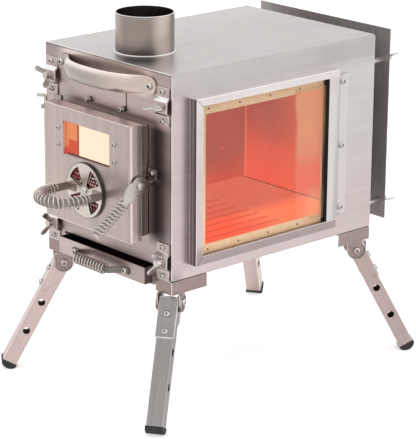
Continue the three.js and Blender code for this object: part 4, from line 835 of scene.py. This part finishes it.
def mark(piece, index, test):
    """Gives one of the piece's materials to the faces that pass a test of their middle in mm and the face."""
    for face in piece.data.polygons:
        if test((face.center - SHIFT) / MM, face):
            face.material_index = index


def install(piece, body, slot, *nodes):
    """A finished piece goes on its body, and the frame's nodes that it covers are hidden."""
    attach(piece, body)
    if nodes:
        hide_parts(*nodes)
    return piece


def refine(node, whole_faces=True):
    """A copy of a frame node with its triangles joined, and merged into whole faces."""
    piece = copy(frame["nodes"][node])
    piece.parent = None
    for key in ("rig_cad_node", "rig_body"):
        if key in piece:
            del piece[key]
    piece.name = node + "_finished"
    edit(piece, "VERT")
    bpy.ops.mesh.select_all(action="SELECT")
    bpy.ops.mesh.remove_doubles(threshold=0.000002)
    if whole_faces:
        bpy.ops.mesh.dissolve_limited(angle_limit=math.radians(0.6))
        bpy.ops.mesh.select_all(action="SELECT")
        bpy.ops.mesh.quads_convert_to_tris(quad_method="BEAUTY", ngon_method="BEAUTY")
    object_mode()
    return piece


def ease(piece, width=None, steps=2, angle=28, material=-1):
    """Rounds a piece's sharp edges. The new faces may take another material of the piece."""
    width = sizes().sheet_edge if width is None else width
    modify(
        piece,
        "BEVEL",
        width=width,
        segments=steps,
        limit_method="ANGLE",
        angle_limit=math.radians(angle),
        material=material,
    )


def ease_long(piece, width, steps=2, shortest=6.0, material=-1):
    """Rounds the long sharp edges alone, so that small holes don't hold the radius back."""
    mesh = piece.data
    edges_of = {}
    for face in mesh.polygons:
        for key in face.edge_keys:
            edges_of.setdefault(key, []).append(face.normal.copy())

    def sharp(edge):
        a, b = (mesh.vertices[i].co for i in edge.vertices)
        sides = edges_of[tuple(sorted(edge.vertices))]
        if len(sides) != 2 or (a - b).length <= shortest * MM:
            return False
        return sides[0].angle(sides[1]) > math.radians(40)

    edit(piece, "EDGE")
    pick(piece, "EDGE", sharp)
    bpy.ops.mesh.bevel(offset=width, segments=steps, affect="EDGES", clamp_overlap=False, material=material)
    object_mode()


def dress(node, material, slot, width=None, steps=2, degrees=35, shine=0.0, whole_faces=True):
    """The usual finish of a sheet-metal part: a refined copy with eased edges. Shine is the radius, in
    metres, of long edges that take a painted highlight."""
    piece = refine(node, whole_faces)
    paint(piece, material, bright_edge())
    if shine:
        ease_long(piece, shine, steps, material=1)
    else:
        ease(piece, width, steps)
    smooth(piece, degrees)
    return install(piece, BODY_OF[node], slot, node)


def carry(node, material):
    """A frame node that stays as it is and only gets a better material."""
    for slot in frame["nodes"][node].material_slots:
        slot.material = material


def slab(name, middle, size, edge, steps, material, body, slot):
    """A plate of the scene's own with eased edges, in millimetres."""
    bpy.ops.mesh.primitive_cube_add(size=1.0, location=at(*middle))
    piece = bpy.context.object
    piece.scale = [length * MM for length in size]
    settle(piece)
    modify(piece, "BEVEL", width=edge * MM, segments=steps)
    paint(piece, material)
    piece.name = name
    return install(piece, body, slot)


def socket_screw():
    """A round screw head with a hexagon socket, 1 unit in radius, standing on the ground."""
    bpy.ops.mesh.primitive_cylinder_add(
        vertices=24, radius=1.0, depth=0.5, end_fill_type="NGON", location=(0, 0, 0.25)
    )
    head = bpy.context.object
    settle(head)
    edit(head)
    pick(head, "FACE", lambda f: f.normal.z > 0.9)
    bpy.ops.mesh.extrude_region_move(TRANSFORM_OT_translate={"value": (0, 0, 0.3)})
    bpy.ops.transform.resize(value=(0.88, 0.88, 1), center_override=(0, 0, 0.8))
    bpy.ops.mesh.extrude_region_move(TRANSFORM_OT_translate={"value": (0, 0, 0.2)})
    bpy.ops.transform.resize(value=(0.78, 0.78, 1), center_override=(0, 0, 1))
    bpy.ops.mesh.inset(thickness=0.17)
    bpy.ops.mesh.extrude_region_move(TRANSFORM_OT_translate={"value": (0, 0, -0.6)})
    object_mode()
    for vertex in head.data.vertices:  # the socket's ring takes six corners
        radius = math.hypot(vertex.co.x, vertex.co.y)
        if 0.3 < vertex.co.z and 0.3 < radius < 0.6:
            turn = math.atan2(vertex.co.y, vertex.co.x)
            wide = 0.5 * math.cos(math.pi / 6) / math.cos((turn % (math.pi / 3)) - math.pi / 6)
            vertex.co.x, vertex.co.y = wide * math.cos(turn), wide * math.sin(turn)
    paint(head, zinc_plate(), socket_black())
    for face in head.data.polygons:
        if face.center.z < 0.9 and math.hypot(face.center.x, face.center.y) < 0.6 and face.center.z > 0.1:
            face.material_index = 1
    smooth(head, 45)
    return head


def place_screws(name, body, radius, height, heads):
    """Screw heads of one size, joined into one piece on a body. Each has its place, in mm, and direction."""
    master = socket_screw()
    size = Vector((radius + 0.1, radius + 0.1, height + sizes().screw_rise / MM)) * MM
    made = []
    for place, direction in heads:
        head = copy(master)
        turn = Vector((0, 0, 1)).rotation_difference(Vector(direction))
        head.matrix_world = Matrix.LocRotScale(at(*place), turn, size)
        made.append(head)
    whole = join(made, name)
    delete(master)
    return install(whole, body, "zinc")


def wound_wire(name, wire, radius, corners, angle, rise, steps):
    """A wire around the X axis that starts at +Y, with closed ends. Lengths are metres, the angle radians."""
    bpy.ops.mesh.primitive_circle_add(vertices=corners, radius=wire, location=(0, radius, 0))
    piece = bpy.context.object
    settle(piece)
    modify(
        piece,
        "SCREW",
        axis="X",
        angle=angle,
        screw_offset=rise,
        steps=steps,
        render_steps=steps,
        use_smooth_shade=True,
    )
    edit(piece, "VERT")
    bpy.ops.mesh.select_all(action="SELECT")
    bpy.ops.mesh.remove_doubles(threshold=0.000001)
    bpy.ops.mesh.fill_holes(sides=16)
    bpy.ops.mesh.select_all(action="SELECT")
    bpy.ops.mesh.normals_make_consistent(inside=False)
    object_mode()
    piece.name = name
    paint(piece, spring_wire())
    return piece


def coil(body, length):
    """The spring on a body's grip, wound along X from 0 to its length, in millimetres."""
    wire, radius, pitch = sizes().wire_radius, sizes().coil_radius, sizes().coil_pitch
    turns = round(length * MM / pitch) + 0.5
    angle, steps = 2 * math.pi * turns, int(20 * turns)
    return wound_wire(f"{body}_coil_finished", wire, radius, 12, angle, length * MM, steps)


def fit_coil(spring, body):
    """A coil that lies on its grip goes on its body, and the frame's coil there is hidden."""
    settle(spring)
    smooth(spring, 60)
    install(spring, body, "zinc", f"{body}_coil")


# -------------------------------------------------------------------------------- operators


class STOVE_OT_firebox(bpy.types.Operator):
    """Finishes the casing, its front and back plates, the ash channel and the glowing lining."""

    bl_idname = "stove.firebox"
    bl_label = "Firebox"

    def execute(self, context):
        shell = refine("firebox_shell")
        edit(shell, "EDGE")
        mesh = shell.data

        def long_corner(edge):
            a, b = (mesh.vertices[i].co for i in edge.vertices)
            on_side = all(abs(abs(p.x) - SIDE_X * MM) < 1e-5 for p in (a, b))
            on_end = any(all(abs(p.z - SHIFT.z - z * MM) < 1e-5 for p in (a, b)) for z in (0, FIREBOX_TOP))
            return on_side and on_end and abs(a.y - b.y) > 0.02

        pick(shell, "EDGE", long_corner)
        bpy.ops.mesh.bevel(offset=sizes().casing_corner, segments=5, affect="EDGES", clamp_overlap=False)
        object_mode()
        paint(shell, shell_steel(), hot_steel("wall"), bright_edge())
        # Long edges take the painted edge highlight
        ease_long(shell, sizes().sheet_edge, 2, 20.0, 2)
        smooth(shell)

        def inside(place, face):
            within = abs(place.x) < INSIDE_X and INSIDE_BOTTOM < place.z < INSIDE_TOP
            return within and abs(place.y) < INSIDE_Y and face.material_index == 0

        # Inner faces take the painted fire glow, and the sheet's front edges the painted edge highlight
        mark(shell, 1, inside)
        mark(shell, 2, lambda place, face: place.y < -INSIDE_Y and face.normal.y < -0.9)
        install(shell, "casing", "brushed_steel", "firebox_shell")

        back = dress("back_plate", casing_steel("along_z"), "brushed_steel")
        paint(back, casing_steel("along_z"), hot_steel("back"))
        mark(back, 1, lambda place, face: face.normal.y < -0.9 and place.y < INSIDE_Y)

        def around_bolt(place, _):
            reach = math.hypot(abs(place.x) - PLATE_BOLT[0], place.z - PLATE_BOLT[1])
            return reach < 4.5 and place.y < FRONT_Y - 0.2

        def in_opening(place, face):
            within = abs(place.x) < OPENING_X and OPENING_BOTTOM < place.z < OPENING_TOP
            return within and place.y > -INSIDE_Y and abs(face.normal.y) < 0.5

        front = dress("front_plate", front_plate_steel(), "brushed_steel")
        paint(front, front_plate_steel(), hot_steel("wall"), slot_black())
        # Painted shade in the bolt holes and on the opening's side walls; the inner face takes the painted
        # fire glow
        mark(front, 2, around_bolt)
        mark(front, 2, in_opening)
        mark(front, 1, lambda _, face: face.normal.y > 0.9)
        # A black sheet of painted shade behind the narrow slot
        middle, size = (SLOT_X, FRONT_Y + 1.1, SLOT_MIDDLE), (3.2, 0.6, 25)
        slab("front_slot_shade", middle, size, 0.1, 1, slot_black(), "casing", "brushed_steel")
        bolts = [((side * PLATE_BOLT[0], FRONT_Y, PLATE_BOLT[1]), FORWARD) for side in SIDES]
        place_screws("front_plate_bolts", "casing", 2.9, 5.4, bolts)
        dress("ash_channel", casing_steel("along_y"), "brushed_steel")
        dress("fire_grate", hot_steel("floor"), "heated_steel", width=0.2 * MM)
        slab("ember_bed", (0, 0, 12.1), (126, 118, 0.8), 0.2, 2, hot_steel("bed"), "casing", "heated_steel")
        return {"FINISHED"}


class STOVE_OT_flue(bpy.types.Operator):
    """Models the flue collar: a thin tube with a rounded rim, welded to the casing's top."""

    bl_idname = "stove.flue"
    bl_label = "Flue collar"

    def execute(self, context):
        height = FLUE_TOP - FIREBOX_TOP
        bpy.ops.mesh.primitive_cylinder_add(
            vertices=96,
            radius=FLUE_RADIUS * MM,
            depth=height * MM,
            end_fill_type="NOTHING",
            location=at(0, FLUE_Y, FIREBOX_TOP + height / 2),
        )
        tube = bpy.context.object
        settle(tube)
        modify(tube, "SOLIDIFY", thickness=1.0 * MM, offset=-1.0, use_rim=True)
        ease(tube, 0.4 * MM, 3, 40)
        smooth(tube)
        bpy.ops.mesh.primitive_torus_add(
            major_radius=(FLUE_RADIUS + 0.5) * MM,
            minor_radius=0.9 * MM,
            major_segments=160,
            minor_segments=10,
            location=at(0, FLUE_Y, FIREBOX_TOP + 0.3),
        )
        weld = bpy.context.object
        settle(weld)
        scales, depth = 60, 0.18 * MM
        for vertex in weld.data.vertices:
            turn = math.atan2(vertex.co.y - at(0, FLUE_Y, 0).y, vertex.co.x)
            vertex.co.z += depth * math.sin(turn * scales)
        smooth(weld, 60)
        # The rim's rounding and the weld bead take the painted edge highlight's bright metal
        paint(tube, flue_steel(), bright_edge())
        mark(tube, 1, lambda place, _: place.z > FLUE_TOP - 0.45)  # the rim's rounding
        paint(weld, bright_edge())
        install(join([tube, weld], "flue_collar_finished"), "casing", "polished_steel", "flue_collar")
        return {"FINISHED"}


class STOVE_OT_heat_shield(bpy.types.Operator):
    """Finishes the dark pan behind the casing."""

    bl_idname = "stove.heat_shield"
    bl_label = "Rear heat shield"

    def execute(self, context):
        dress("rear_heat_shield", satin_sheet(), "shield_steel", width=0.35 * MM, steps=3)
        return {"FINISHED"}


class STOVE_OT_side_windows(bpy.types.Operator):
    """Finishes the side windows: frame, gasket, glass and the screwed retainer."""

    bl_idname = "stove.side_windows"
    bl_label = "Side windows"

    def execute(self, context):
        screws = []
        for word, side in (("right", 1), ("left", -1)):
            dress(f"window_frame_{word}", frame_steel(), "brushed_steel", shine=0.45 * MM, steps=3)
            steel = casing_steel("along_z")
            retainer = dress(f"window_retainer_{word}", steel, "brushed_steel", shine=0.4 * MM)
            # The retainer's inner wall takes painted shade
            retainer.data.materials.append(slot_black())
            mark(retainer, 2, lambda _, face: face.normal.y < -0.8)
            carry(f"window_gasket_{word}", gasket_tape())
            carry(f"side_glass_{word}", window_glass())
            screws += [((side * (SIDE_X + 1.5), RAIL_Y, z), (side, 0, 0)) for z in RAIL_SCREWS]
        place_screws("window_screws", "casing", 3.2, 1.7, screws)
        return {"FINISHED"}


class STOVE_OT_clamps(bpy.types.Operator):
    """Finishes the front clamps with their screws and all the wing bolts and wing nuts."""

    bl_idname = "stove.clamps"
    bl_label = "Clamps and wing bolts"

    def execute(self, context):
        screws = []
        for level, hand in ((level, hand) for level in CLAMP_LEVELS for hand in CLAMP_HANDS):
            word = f"{level}_{hand}"
            clamp = dress(f"front_clamp_{word}", clamp_steel(), "brushed_steel", shine=0.3 * MM)
            # Steps that look up and forward take the painted edge highlight
            mark(clamp, 1, lambda _, face: face.normal.z > 0.3 and face.normal.y < -0.3)
            for kind in ("bolt", "nut"):
                dress(f"wing_{kind}_{word}", zinc_plate(), "zinc", width=0.6 * MM, steps=3, degrees=50)
            x, middle = CLAMP_HANDS[hand], CLAMP_LEVELS[level]
            screws += [((x, FRONT_Y - 1.5, middle + end * 14.8), FORWARD) for end in SIDES]
        place_screws("clamp_screws", "casing", 2.8, 1.6, screws)
        return {"FINISHED"}


def handle_section(x):
    """Half depth, half height, middle and roundness of the carry handle's section at x."""
    bow = ((0, 1), (14, 0.98), (27, 0.9), (39, 0.74), (49, 0.48), (56, 0.2), (61, 0.03))
    bow = (*bow, (HANDLE_FLAT, 0.0), (HANDLE_END, 0.0))
    run = min(abs(x), HANDLE_END)
    for (x0, s0), (x1, s1) in zip(bow, bow[1:]):
        if run <= x1:
            share = s0 + (s1 - s0) * (run - x0) / (x1 - x0)
            break
    swell = min(1.0, max(0.0, (HANDLE_FLAT - run) / 24.0))
    swell = swell * swell * (3 - 2 * swell)
    depth = 1.2 + (4.5 - 1.2) * swell
    height = 9.0 + 0.5 * swell
    if run > HANDLE_END - 9.0:  # the tabs end in a half circle
        height *= math.sqrt(max(0.0, 1 - ((run - HANDLE_END + 9.0) / 9.02) ** 2))
    return depth, height, HANDLE_TAB_Y + share * (HANDLE_AXIS_Y - HANDLE_TAB_Y), swell


class STOVE_OT_carry_handle(bpy.types.Operator):
    """Models the carry handle: a bowed tube whose ends are flattened and screwed to the front plate."""

    bl_idname = "stove.carry_handle"
    bl_label = "Carry handle"

    def execute(self, context):
        bpy.ops.mesh.primitive_cylinder_add(
            vertices=32,
            radius=1.0,
            depth=2 * HANDLE_END * MM,
            end_fill_type="NGON",
            location=(0, 0, 0),
            rotation=(0, math.pi / 2, 0),
        )
        tube = bpy.context.object
        settle(tube)
        edit(tube, "EDGE")
        points = tube.data.vertices
        pick(tube, "EDGE", lambda e: abs(points[e.vertices[0]].co.x - points[e.vertices[1]].co.x) > 0.1)
        bpy.ops.mesh.subdivide(number_cuts=103)
        object_mode()
        for vertex in tube.data.vertices:
            x = vertex.co.x / MM
            depth, height, middle, swell = handle_section(x)
            ahead, behind = handle_section(x + 0.5)[2], handle_section(x - 0.5)[2]
            lean = math.atan2(ahead - behind, 1.0)
            round_y, round_z = vertex.co.y, vertex.co.z
            power = 0.35 + 0.65 * swell  # the flattened ends are nearly square in section
            out = math.copysign(abs(round_y) ** power, round_y) * depth
            across, back = x - out * math.sin(lean), middle + out * math.cos(lean)
            vertex.co = at(across, back, HANDLE_Z + round_z * height)
        smooth(tube, 50)
        paint(tube, handle_steel())
        tube.name = "carry_handle_finished"
        install(tube, "casing", "polished_steel", "carry_handle")
        heads = [((side * 70, FRONT_Y - 2.4, HANDLE_Z), FORWARD) for side in SIDES]
        place_screws("carry_handle_screws", "casing", 3.4, 2.0, heads)
        return {"FINISHED"}


class STOVE_OT_door(bpy.types.Operator):
    """Finishes the door with its glazing, hinge and catch."""

    bl_idname = "stove.door"
    bl_label = "Door"

    def execute(self, context):
        def near_middle(place, _):
            return max(abs(v) for v in place - Vector((0, DOOR_FACE_Y, DOOR_MIDDLE))) < DOOR_OPENINGS

        def hinge_side(place, face):
            low, high = GLAZING_EDGE
            return face.normal.y < -0.7 or face.normal.x > 0.7 and low < place.x < high

        shell = dress("door_shell", door_steel(), "brushed_steel", shine=0.9 * MM, steps=3)
        # The openings keep no painted edge highlight
        mark(shell, 0, near_middle)  # the window's and the damper's openings stay dull
        dress("door_liner", front_steel("along_z"), "brushed_steel")
        # A sheet of painted fire glow inside the door's window, on its hinge side
        middle, size = (REVEAL_GLOW_X, FRONT_Y - 1.7, GLASS_Z), (17.0, 0.6, 50)
        slab("door_reveal_glow", middle, size, 0.15, 2, hot_steel("reveal"), "door", "heated_steel")
        plate = dress("door_glazing_plate", glazing_steel(), "brushed_steel", width=0.2 * MM)
        plate.data.materials.append(hot_steel("reveal"))
        # Its front faces and the opening's hinge side take the painted fire glow
        mark(plate, 2, hinge_side)  # the opening's hinge side shines in the fire's light
        carry("door_glass_gasket", door_gasket())
        carry("door_glass", window_glass())
        for word in ("upper", "lower"):
            dress(f"hinge_bracket_{word}", front_steel("along_x"), "brushed_steel")
        dress("hinge_pin", polished_steel("along_z"), "polished_steel", width=0.3 * MM, degrees=60)
        dress("latch_catch", front_steel("along_x"), "brushed_steel")
        rows = (GLASS_Z, GLASS_Z + 17.8)
        glazing = [((side * 44.7, DOOR_FACE_Y, z), FORWARD) for side in SIDES for z in rows]
        place_screws("door_screws", "door", 2.2, 1.3, glazing)
        place_screws("catch_screw", "casing", 2.6, 1.4, [((71.5, FRONT_Y - 1.5, 108.3), FORWARD)])
        return {"FINISHED"}


class STOVE_OT_damper(bpy.types.Operator):
    """Finishes the rotary air damper and winds the spring around its bow."""

    bl_idname = "stove.damper"
    bl_label = "Air damper"

    def execute(self, context):
        dress("air_mesh", mesh_steel(), "polished_steel", width=0.05 * MM, steps=1)
        dress("damper_bolt", zinc_plate(), "zinc", degrees=50)
        dress("damper_disc", disc_steel(), "polished_steel", width=0.3 * MM)
        dress("damper_handle", bow_steel(), "polished_steel", width=0.3 * MM)
        bow, bow_y, straight = BOW_RADIUS, DAMPER_FACE_Y - BOW_LEG, 8
        spring = coil("damper", math.pi * bow + 2 * straight)
        bpy.ops.curve.primitive_bezier_curve_add(location=(0, 0, 0))
        guide = bpy.context.object
        guide.data.resolution_u = 48
        bpy.ops.object.mode_set(mode="EDIT")
        bpy.ops.curve.select_all(action="SELECT")
        bpy.ops.curve.subdivide(number_cuts=3)
        bpy.ops.object.mode_set(mode="OBJECT")
        short, reach = 2.6, bow * 0.5523  # the handles of a straight run and of a quarter circle
        places = (  # place, direction back along the guide, and how far the handles reach back and ahead
            ((bow, bow_y + straight), (0, 1), (short, short)),
            ((bow, bow_y), (0, 1), (short, reach)),
            ((0, bow_y - bow), (1, 0), (reach, reach)),
            ((-bow, bow_y), (0, -1), (reach, short)),
            ((-bow, bow_y + straight), (0, -1), (short, short)),
        )
        points = guide.data.splines[0].bezier_points
        for point, ((x, y), (back_x, back_y), (near, far)) in zip(points, places):
            point.handle_left_type = point.handle_right_type = "FREE"
            point.co = at(x, y, AIR_Z)
            point.handle_left = at(x + back_x * near, y + back_y * near, AIR_Z)
            point.handle_right = at(x - back_x * far, y - back_y * far, AIR_Z)
        modify(spring, "CURVE", object=guide, deform_axis="POS_X")
        delete(guide)
        fit_coil(spring, "damper")
        return {"FINISHED"}


class STOVE_OT_latch(bpy.types.Operator):
    """Finishes the door latch and winds the spring around its grip."""

    bl_idname = "stove.latch"
    bl_label = "Door latch"

    def execute(self, context):
        dress("latch_bolt", zinc_plate(), "zinc", degrees=50)
        dress("latch_lever", polished_steel("along_y"), "polished_steel", width=0.35 * MM)
        spring = coil("latch", 44.5)
        droop = math.radians(LATCH_DROOP)
        along = Vector((0, -math.cos(droop), -math.sin(droop)))
        across = Vector((0, -math.sin(droop), math.cos(droop)))
        start = at(LATCH_X + 1, LATCH_Y, LATCH_Z) + along * 24 * MM
        turn = towards_axes(along, across, along.cross(across)).to_4x4()
        spring.matrix_world = Matrix.Translation(start) @ turn
        fit_coil(spring, "latch")
        place_screws("latch_screw", "door", 4.4, 2.4, [((LATCH_X + 2.2, LATCH_Y, LATCH_Z), (1, 0, 0))])
        return {"FINISHED"}


class STOVE_OT_ash_drawer(bpy.types.Operator):
    """Finishes the ash drawer and winds the spring around its handle."""

    bl_idname = "stove.ash_drawer"
    bl_label = "Ash drawer"

    def execute(self, context):
        def inside(place, face):
            within = abs(place.x) < 68.7 and place.y > DRAWER_FACE_Y + 1.1 and -7 < place.z < 9.5
            return within and face.normal.z > -0.5

        tray = dress("ash_drawer", drawer_steel(), "brushed_steel", shine=0.4 * MM)
        paint(tray, drawer_steel(), bright_edge(), hot_steel("ash"))
        # The drawer's inside takes painted shade
        mark(tray, 2, inside)
        dress("drawer_handle", grip_steel(), "polished_steel", width=0.3 * MM)
        length = 47
        spring = coil("drawer", length)
        spring.matrix_world = Matrix.Translation(at(-length / 2, DRAWER_FACE_Y - 13.25, DRAWER_GRIP_Z))
        fit_coil(spring, "drawer")
        heads = [((side * 40.5, DRAWER_FACE_Y - 1.5, DRAWER_GRIP_Z), FORWARD) for side in SIDES]
        place_screws("drawer_screws", "drawer", 3.2, 1.7, heads)
        return {"FINISHED"}


def leg_axes(corner):
    """Pivot in mm, and the directions along the pivot pin, out of the leg's face and down the leg."""
    side_x, side_y = CORNERS[corner]
    heading, splay = math.radians(LEG_HEADING), math.radians(LEG_SPLAY)
    outward = Vector((side_x * math.sin(heading), side_y * math.cos(heading), 0))
    down = outward * math.sin(splay) + Vector((0, 0, -math.cos(splay)))
    out = outward * math.cos(splay) + Vector((0, 0, math.sin(splay)))
    return Vector((side_x * LEG_PIVOT[0], side_y * LEG_PIVOT[1], LEG_PIVOT[2])), out.cross(down), out, down


class STOVE_OT_legs(bpy.types.Operator):
    """Finishes the folding legs, their corner brackets and rubber feet."""

    bl_idname = "stove.legs"
    bl_label = "Legs"

    def execute(self, context):
        for word in CORNERS:
            pivot, pin, out, down = leg_axes(word)
            dress(f"leg_{word}", leg_steel(word), "brushed_steel", shine=0.5 * MM)
            dress(f"leg_bracket_{word}", front_steel("plain"), "brushed_steel", shine=0.35 * MM)
            dress(f"foot_{word}", foot_rubber(), "rubber", width=0.7 * MM, steps=3, degrees=50)
            heads = [(pivot + out * 9.5 + down * reach, out) for reach in (14.5, 32.4)]
            place_screws(f"leg_screws_{word}", f"leg_{word}", 3.3, 1.9, heads)
            pins = [(pivot + pin * end * 12.3, pin * end) for end in SIDES]
            place_screws(f"pivot_screws_{word}", "casing", 4.0, 2.2, pins)
            loops = []
            for end in SIDES:
                angle = math.radians(235)
                loop = wound_wire(f"lock_spring_{word}", 0.6 * MM, 9.4 * MM, 10, angle, 0.0, 40)
                smooth(loop, 60)
                middle = at(*(pivot + pin * end * 13.1))
                loop.matrix_world = Matrix.Translation(middle) @ towards_axes(pin, out, down).to_4x4()
                settle(loop)
                loops.append(loop)
            install(join(loops, f"lock_springs_{word}"), "casing", "zinc")
        return {"FINISHED"}


class STOVE_OT_studio(bpy.types.Operator):
    """Sets up the pale floor, the soft lamps, the white surroundings and the camera."""

    bl_idname = "stove.studio"
    bl_label = "Studio"

    def execute(self, context):
        bpy.ops.mesh.primitive_plane_add(size=12.0, location=(0, 0, 0))
        floor = bpy.context.object
        floor.name = "studio_floor"
        s = Surface("studio_paper")
        path = s.node("ShaderNodeLightPath")
        ahead = s.part_of(s.place(), 1)
        shine = path.output(3) * s.spread(ahead, -0.2, -0.7, 0.6, 0.35)
        seen = path.output(0).most(path.output(6)).most(shine)
        tint = s.dimmed((0.8, 0.79, 0.785), 0.99 + s.speckle(40.0) * 0.02)
        paper = s.node("ShaderNodeBsdfDiffuse", sockets={"Color": tint})
        bright = s.node("ShaderNodeEmission", sockets={"Color": (1.0, 1.0, 1.0), "Strength": seen * 0.5})
        both = s.node("ShaderNodeAddShader", sockets={0: paper, 1: bright})
        s.node("ShaderNodeOutputMaterial", sockets={0: both})
        floor.data.materials.append(s.material)

        world = bpy.data.worlds.new("studio_surroundings")
        context.scene.world = world
        world.use_nodes = True
        w = Surface(tree=world.node_tree)
        path = w.node("ShaderNodeLightPath")
        direction = w.node("ShaderNodeTexCoord", output=0)
        towards = {0: direction, 1: (0.3, -0.95, -0.1)}
        ahead = w.node("ShaderNodeVectorMath", {"operation": "DOT_PRODUCT"}, towards, output=1)
        rise = w.part_of(direction, 2)
        sheen = 1.0 - w.spread(ahead, 0.1, 0.85) * 0.5 + w.spread(rise, 0.35, 0.9) * 0.35
        high = path.output(3) * w.spread(rise, 0.6, 0.95) * 0.4
        seen = path.output(0).most(path.output(6)).most(path.output(3) * sheen)
        strength = 0.9 + seen * 0.1 - high
        light = w.node("ShaderNodeBackground", sockets={"Color": (1.0, 1.0, 1.0), "Strength": strength})
        w.node("ShaderNodeOutputWorld", sockets={0: light})

        for name, place, size, energy in (
            ("lamp_above", (-0.25, 0.1, 1.5), 1.4, 3.5),
            ("lamp_right", (1.3, 0.9, 0.7), 1.1, 0.8),
        ):
            bpy.ops.object.light_add(type="AREA", location=place)
            lamp = context.object
            lamp.name = name
            lamp.data.size = size
            lamp.data.energy = energy
            lamp.rotation_euler = (Vector(place) - Vector((0, 0, 0.25))).to_track_quat("Z", "Y").to_euler()

        azimuth, elevation, roll = (math.radians(v) for v in (VIEW_AZIMUTH, VIEW_ELEVATION, VIEW_ROLL))
        flat = math.cos(elevation)
        back = Vector((math.sin(azimuth) * flat, -math.cos(azimuth) * flat, math.sin(elevation)))
        level = (-back).cross(Vector((0, 0, 1))).normalized()
        upright = level.cross(-back)
        right = level * math.cos(roll) + upright * math.sin(roll)
        top = upright * math.cos(roll) - level * math.sin(roll)
        bpy.ops.object.camera_add(location=VIEW_PLACE)
        camera = context.object
        camera.name = "photo_camera"
        camera.rotation_euler = towards_axes(right, top, back).to_euler()
        camera.data.lens = VIEW_LENS
        camera.data.sensor_width = 36.0
        camera.data.clip_end = 50.0
        context.scene.camera = camera
        context.scene.view_settings.view_transform = "Standard"
        return {"FINISHED"}


# -------------------------------------------------------------------------------- panel, script

OPERATORS = (
    STOVE_OT_studio,
    STOVE_OT_firebox,
    STOVE_OT_flue,
    STOVE_OT_heat_shield,
    STOVE_OT_side_windows,
    STOVE_OT_clamps,
    STOVE_OT_carry_handle,
    STOVE_OT_door,
    STOVE_OT_damper,
    STOVE_OT_latch,
    STOVE_OT_ash_drawer,
    STOVE_OT_legs,
)


class STOVE_PT_pieces(bpy.types.Panel):
    """Lists the stove's pieces with their colours and sizes."""

    bl_idname = "STOVE_PT_pieces"
    bl_label = "Tent wood stove"
    bl_space_type = "VIEW_3D"
    bl_region_type = "UI"
    bl_category = "Stove"

    def draw(self, context):
        for group in (context.scene.stove_colours, context.scene.stove_sizes):
            box = self.layout.box()
            for name in group.__annotations__:
                box.prop(group, name)
        for operator in OPERATORS:
            self.layout.operator(operator.bl_idname)


CLASSES = (StoveColours, StoveSizes, *OPERATORS, STOVE_PT_pieces)


def register():
    for made in CLASSES:
        bpy.utils.register_class(made)
    bpy.types.Scene.stove_colours = bpy.props.PointerProperty(type=StoveColours)
    bpy.types.Scene.stove_sizes = bpy.props.PointerProperty(type=StoveSizes)


def unregister():
    del bpy.types.Scene.stove_sizes
    del bpy.types.Scene.stove_colours
    for made in reversed(CLASSES):
        bpy.utils.unregister_class(made)


def main():
    register()
    for operator in OPERATORS:
        group, name = operator.bl_idname.split(".")
        getattr(getattr(bpy.ops, group), name)()


if __name__ == "__main__":
    main()
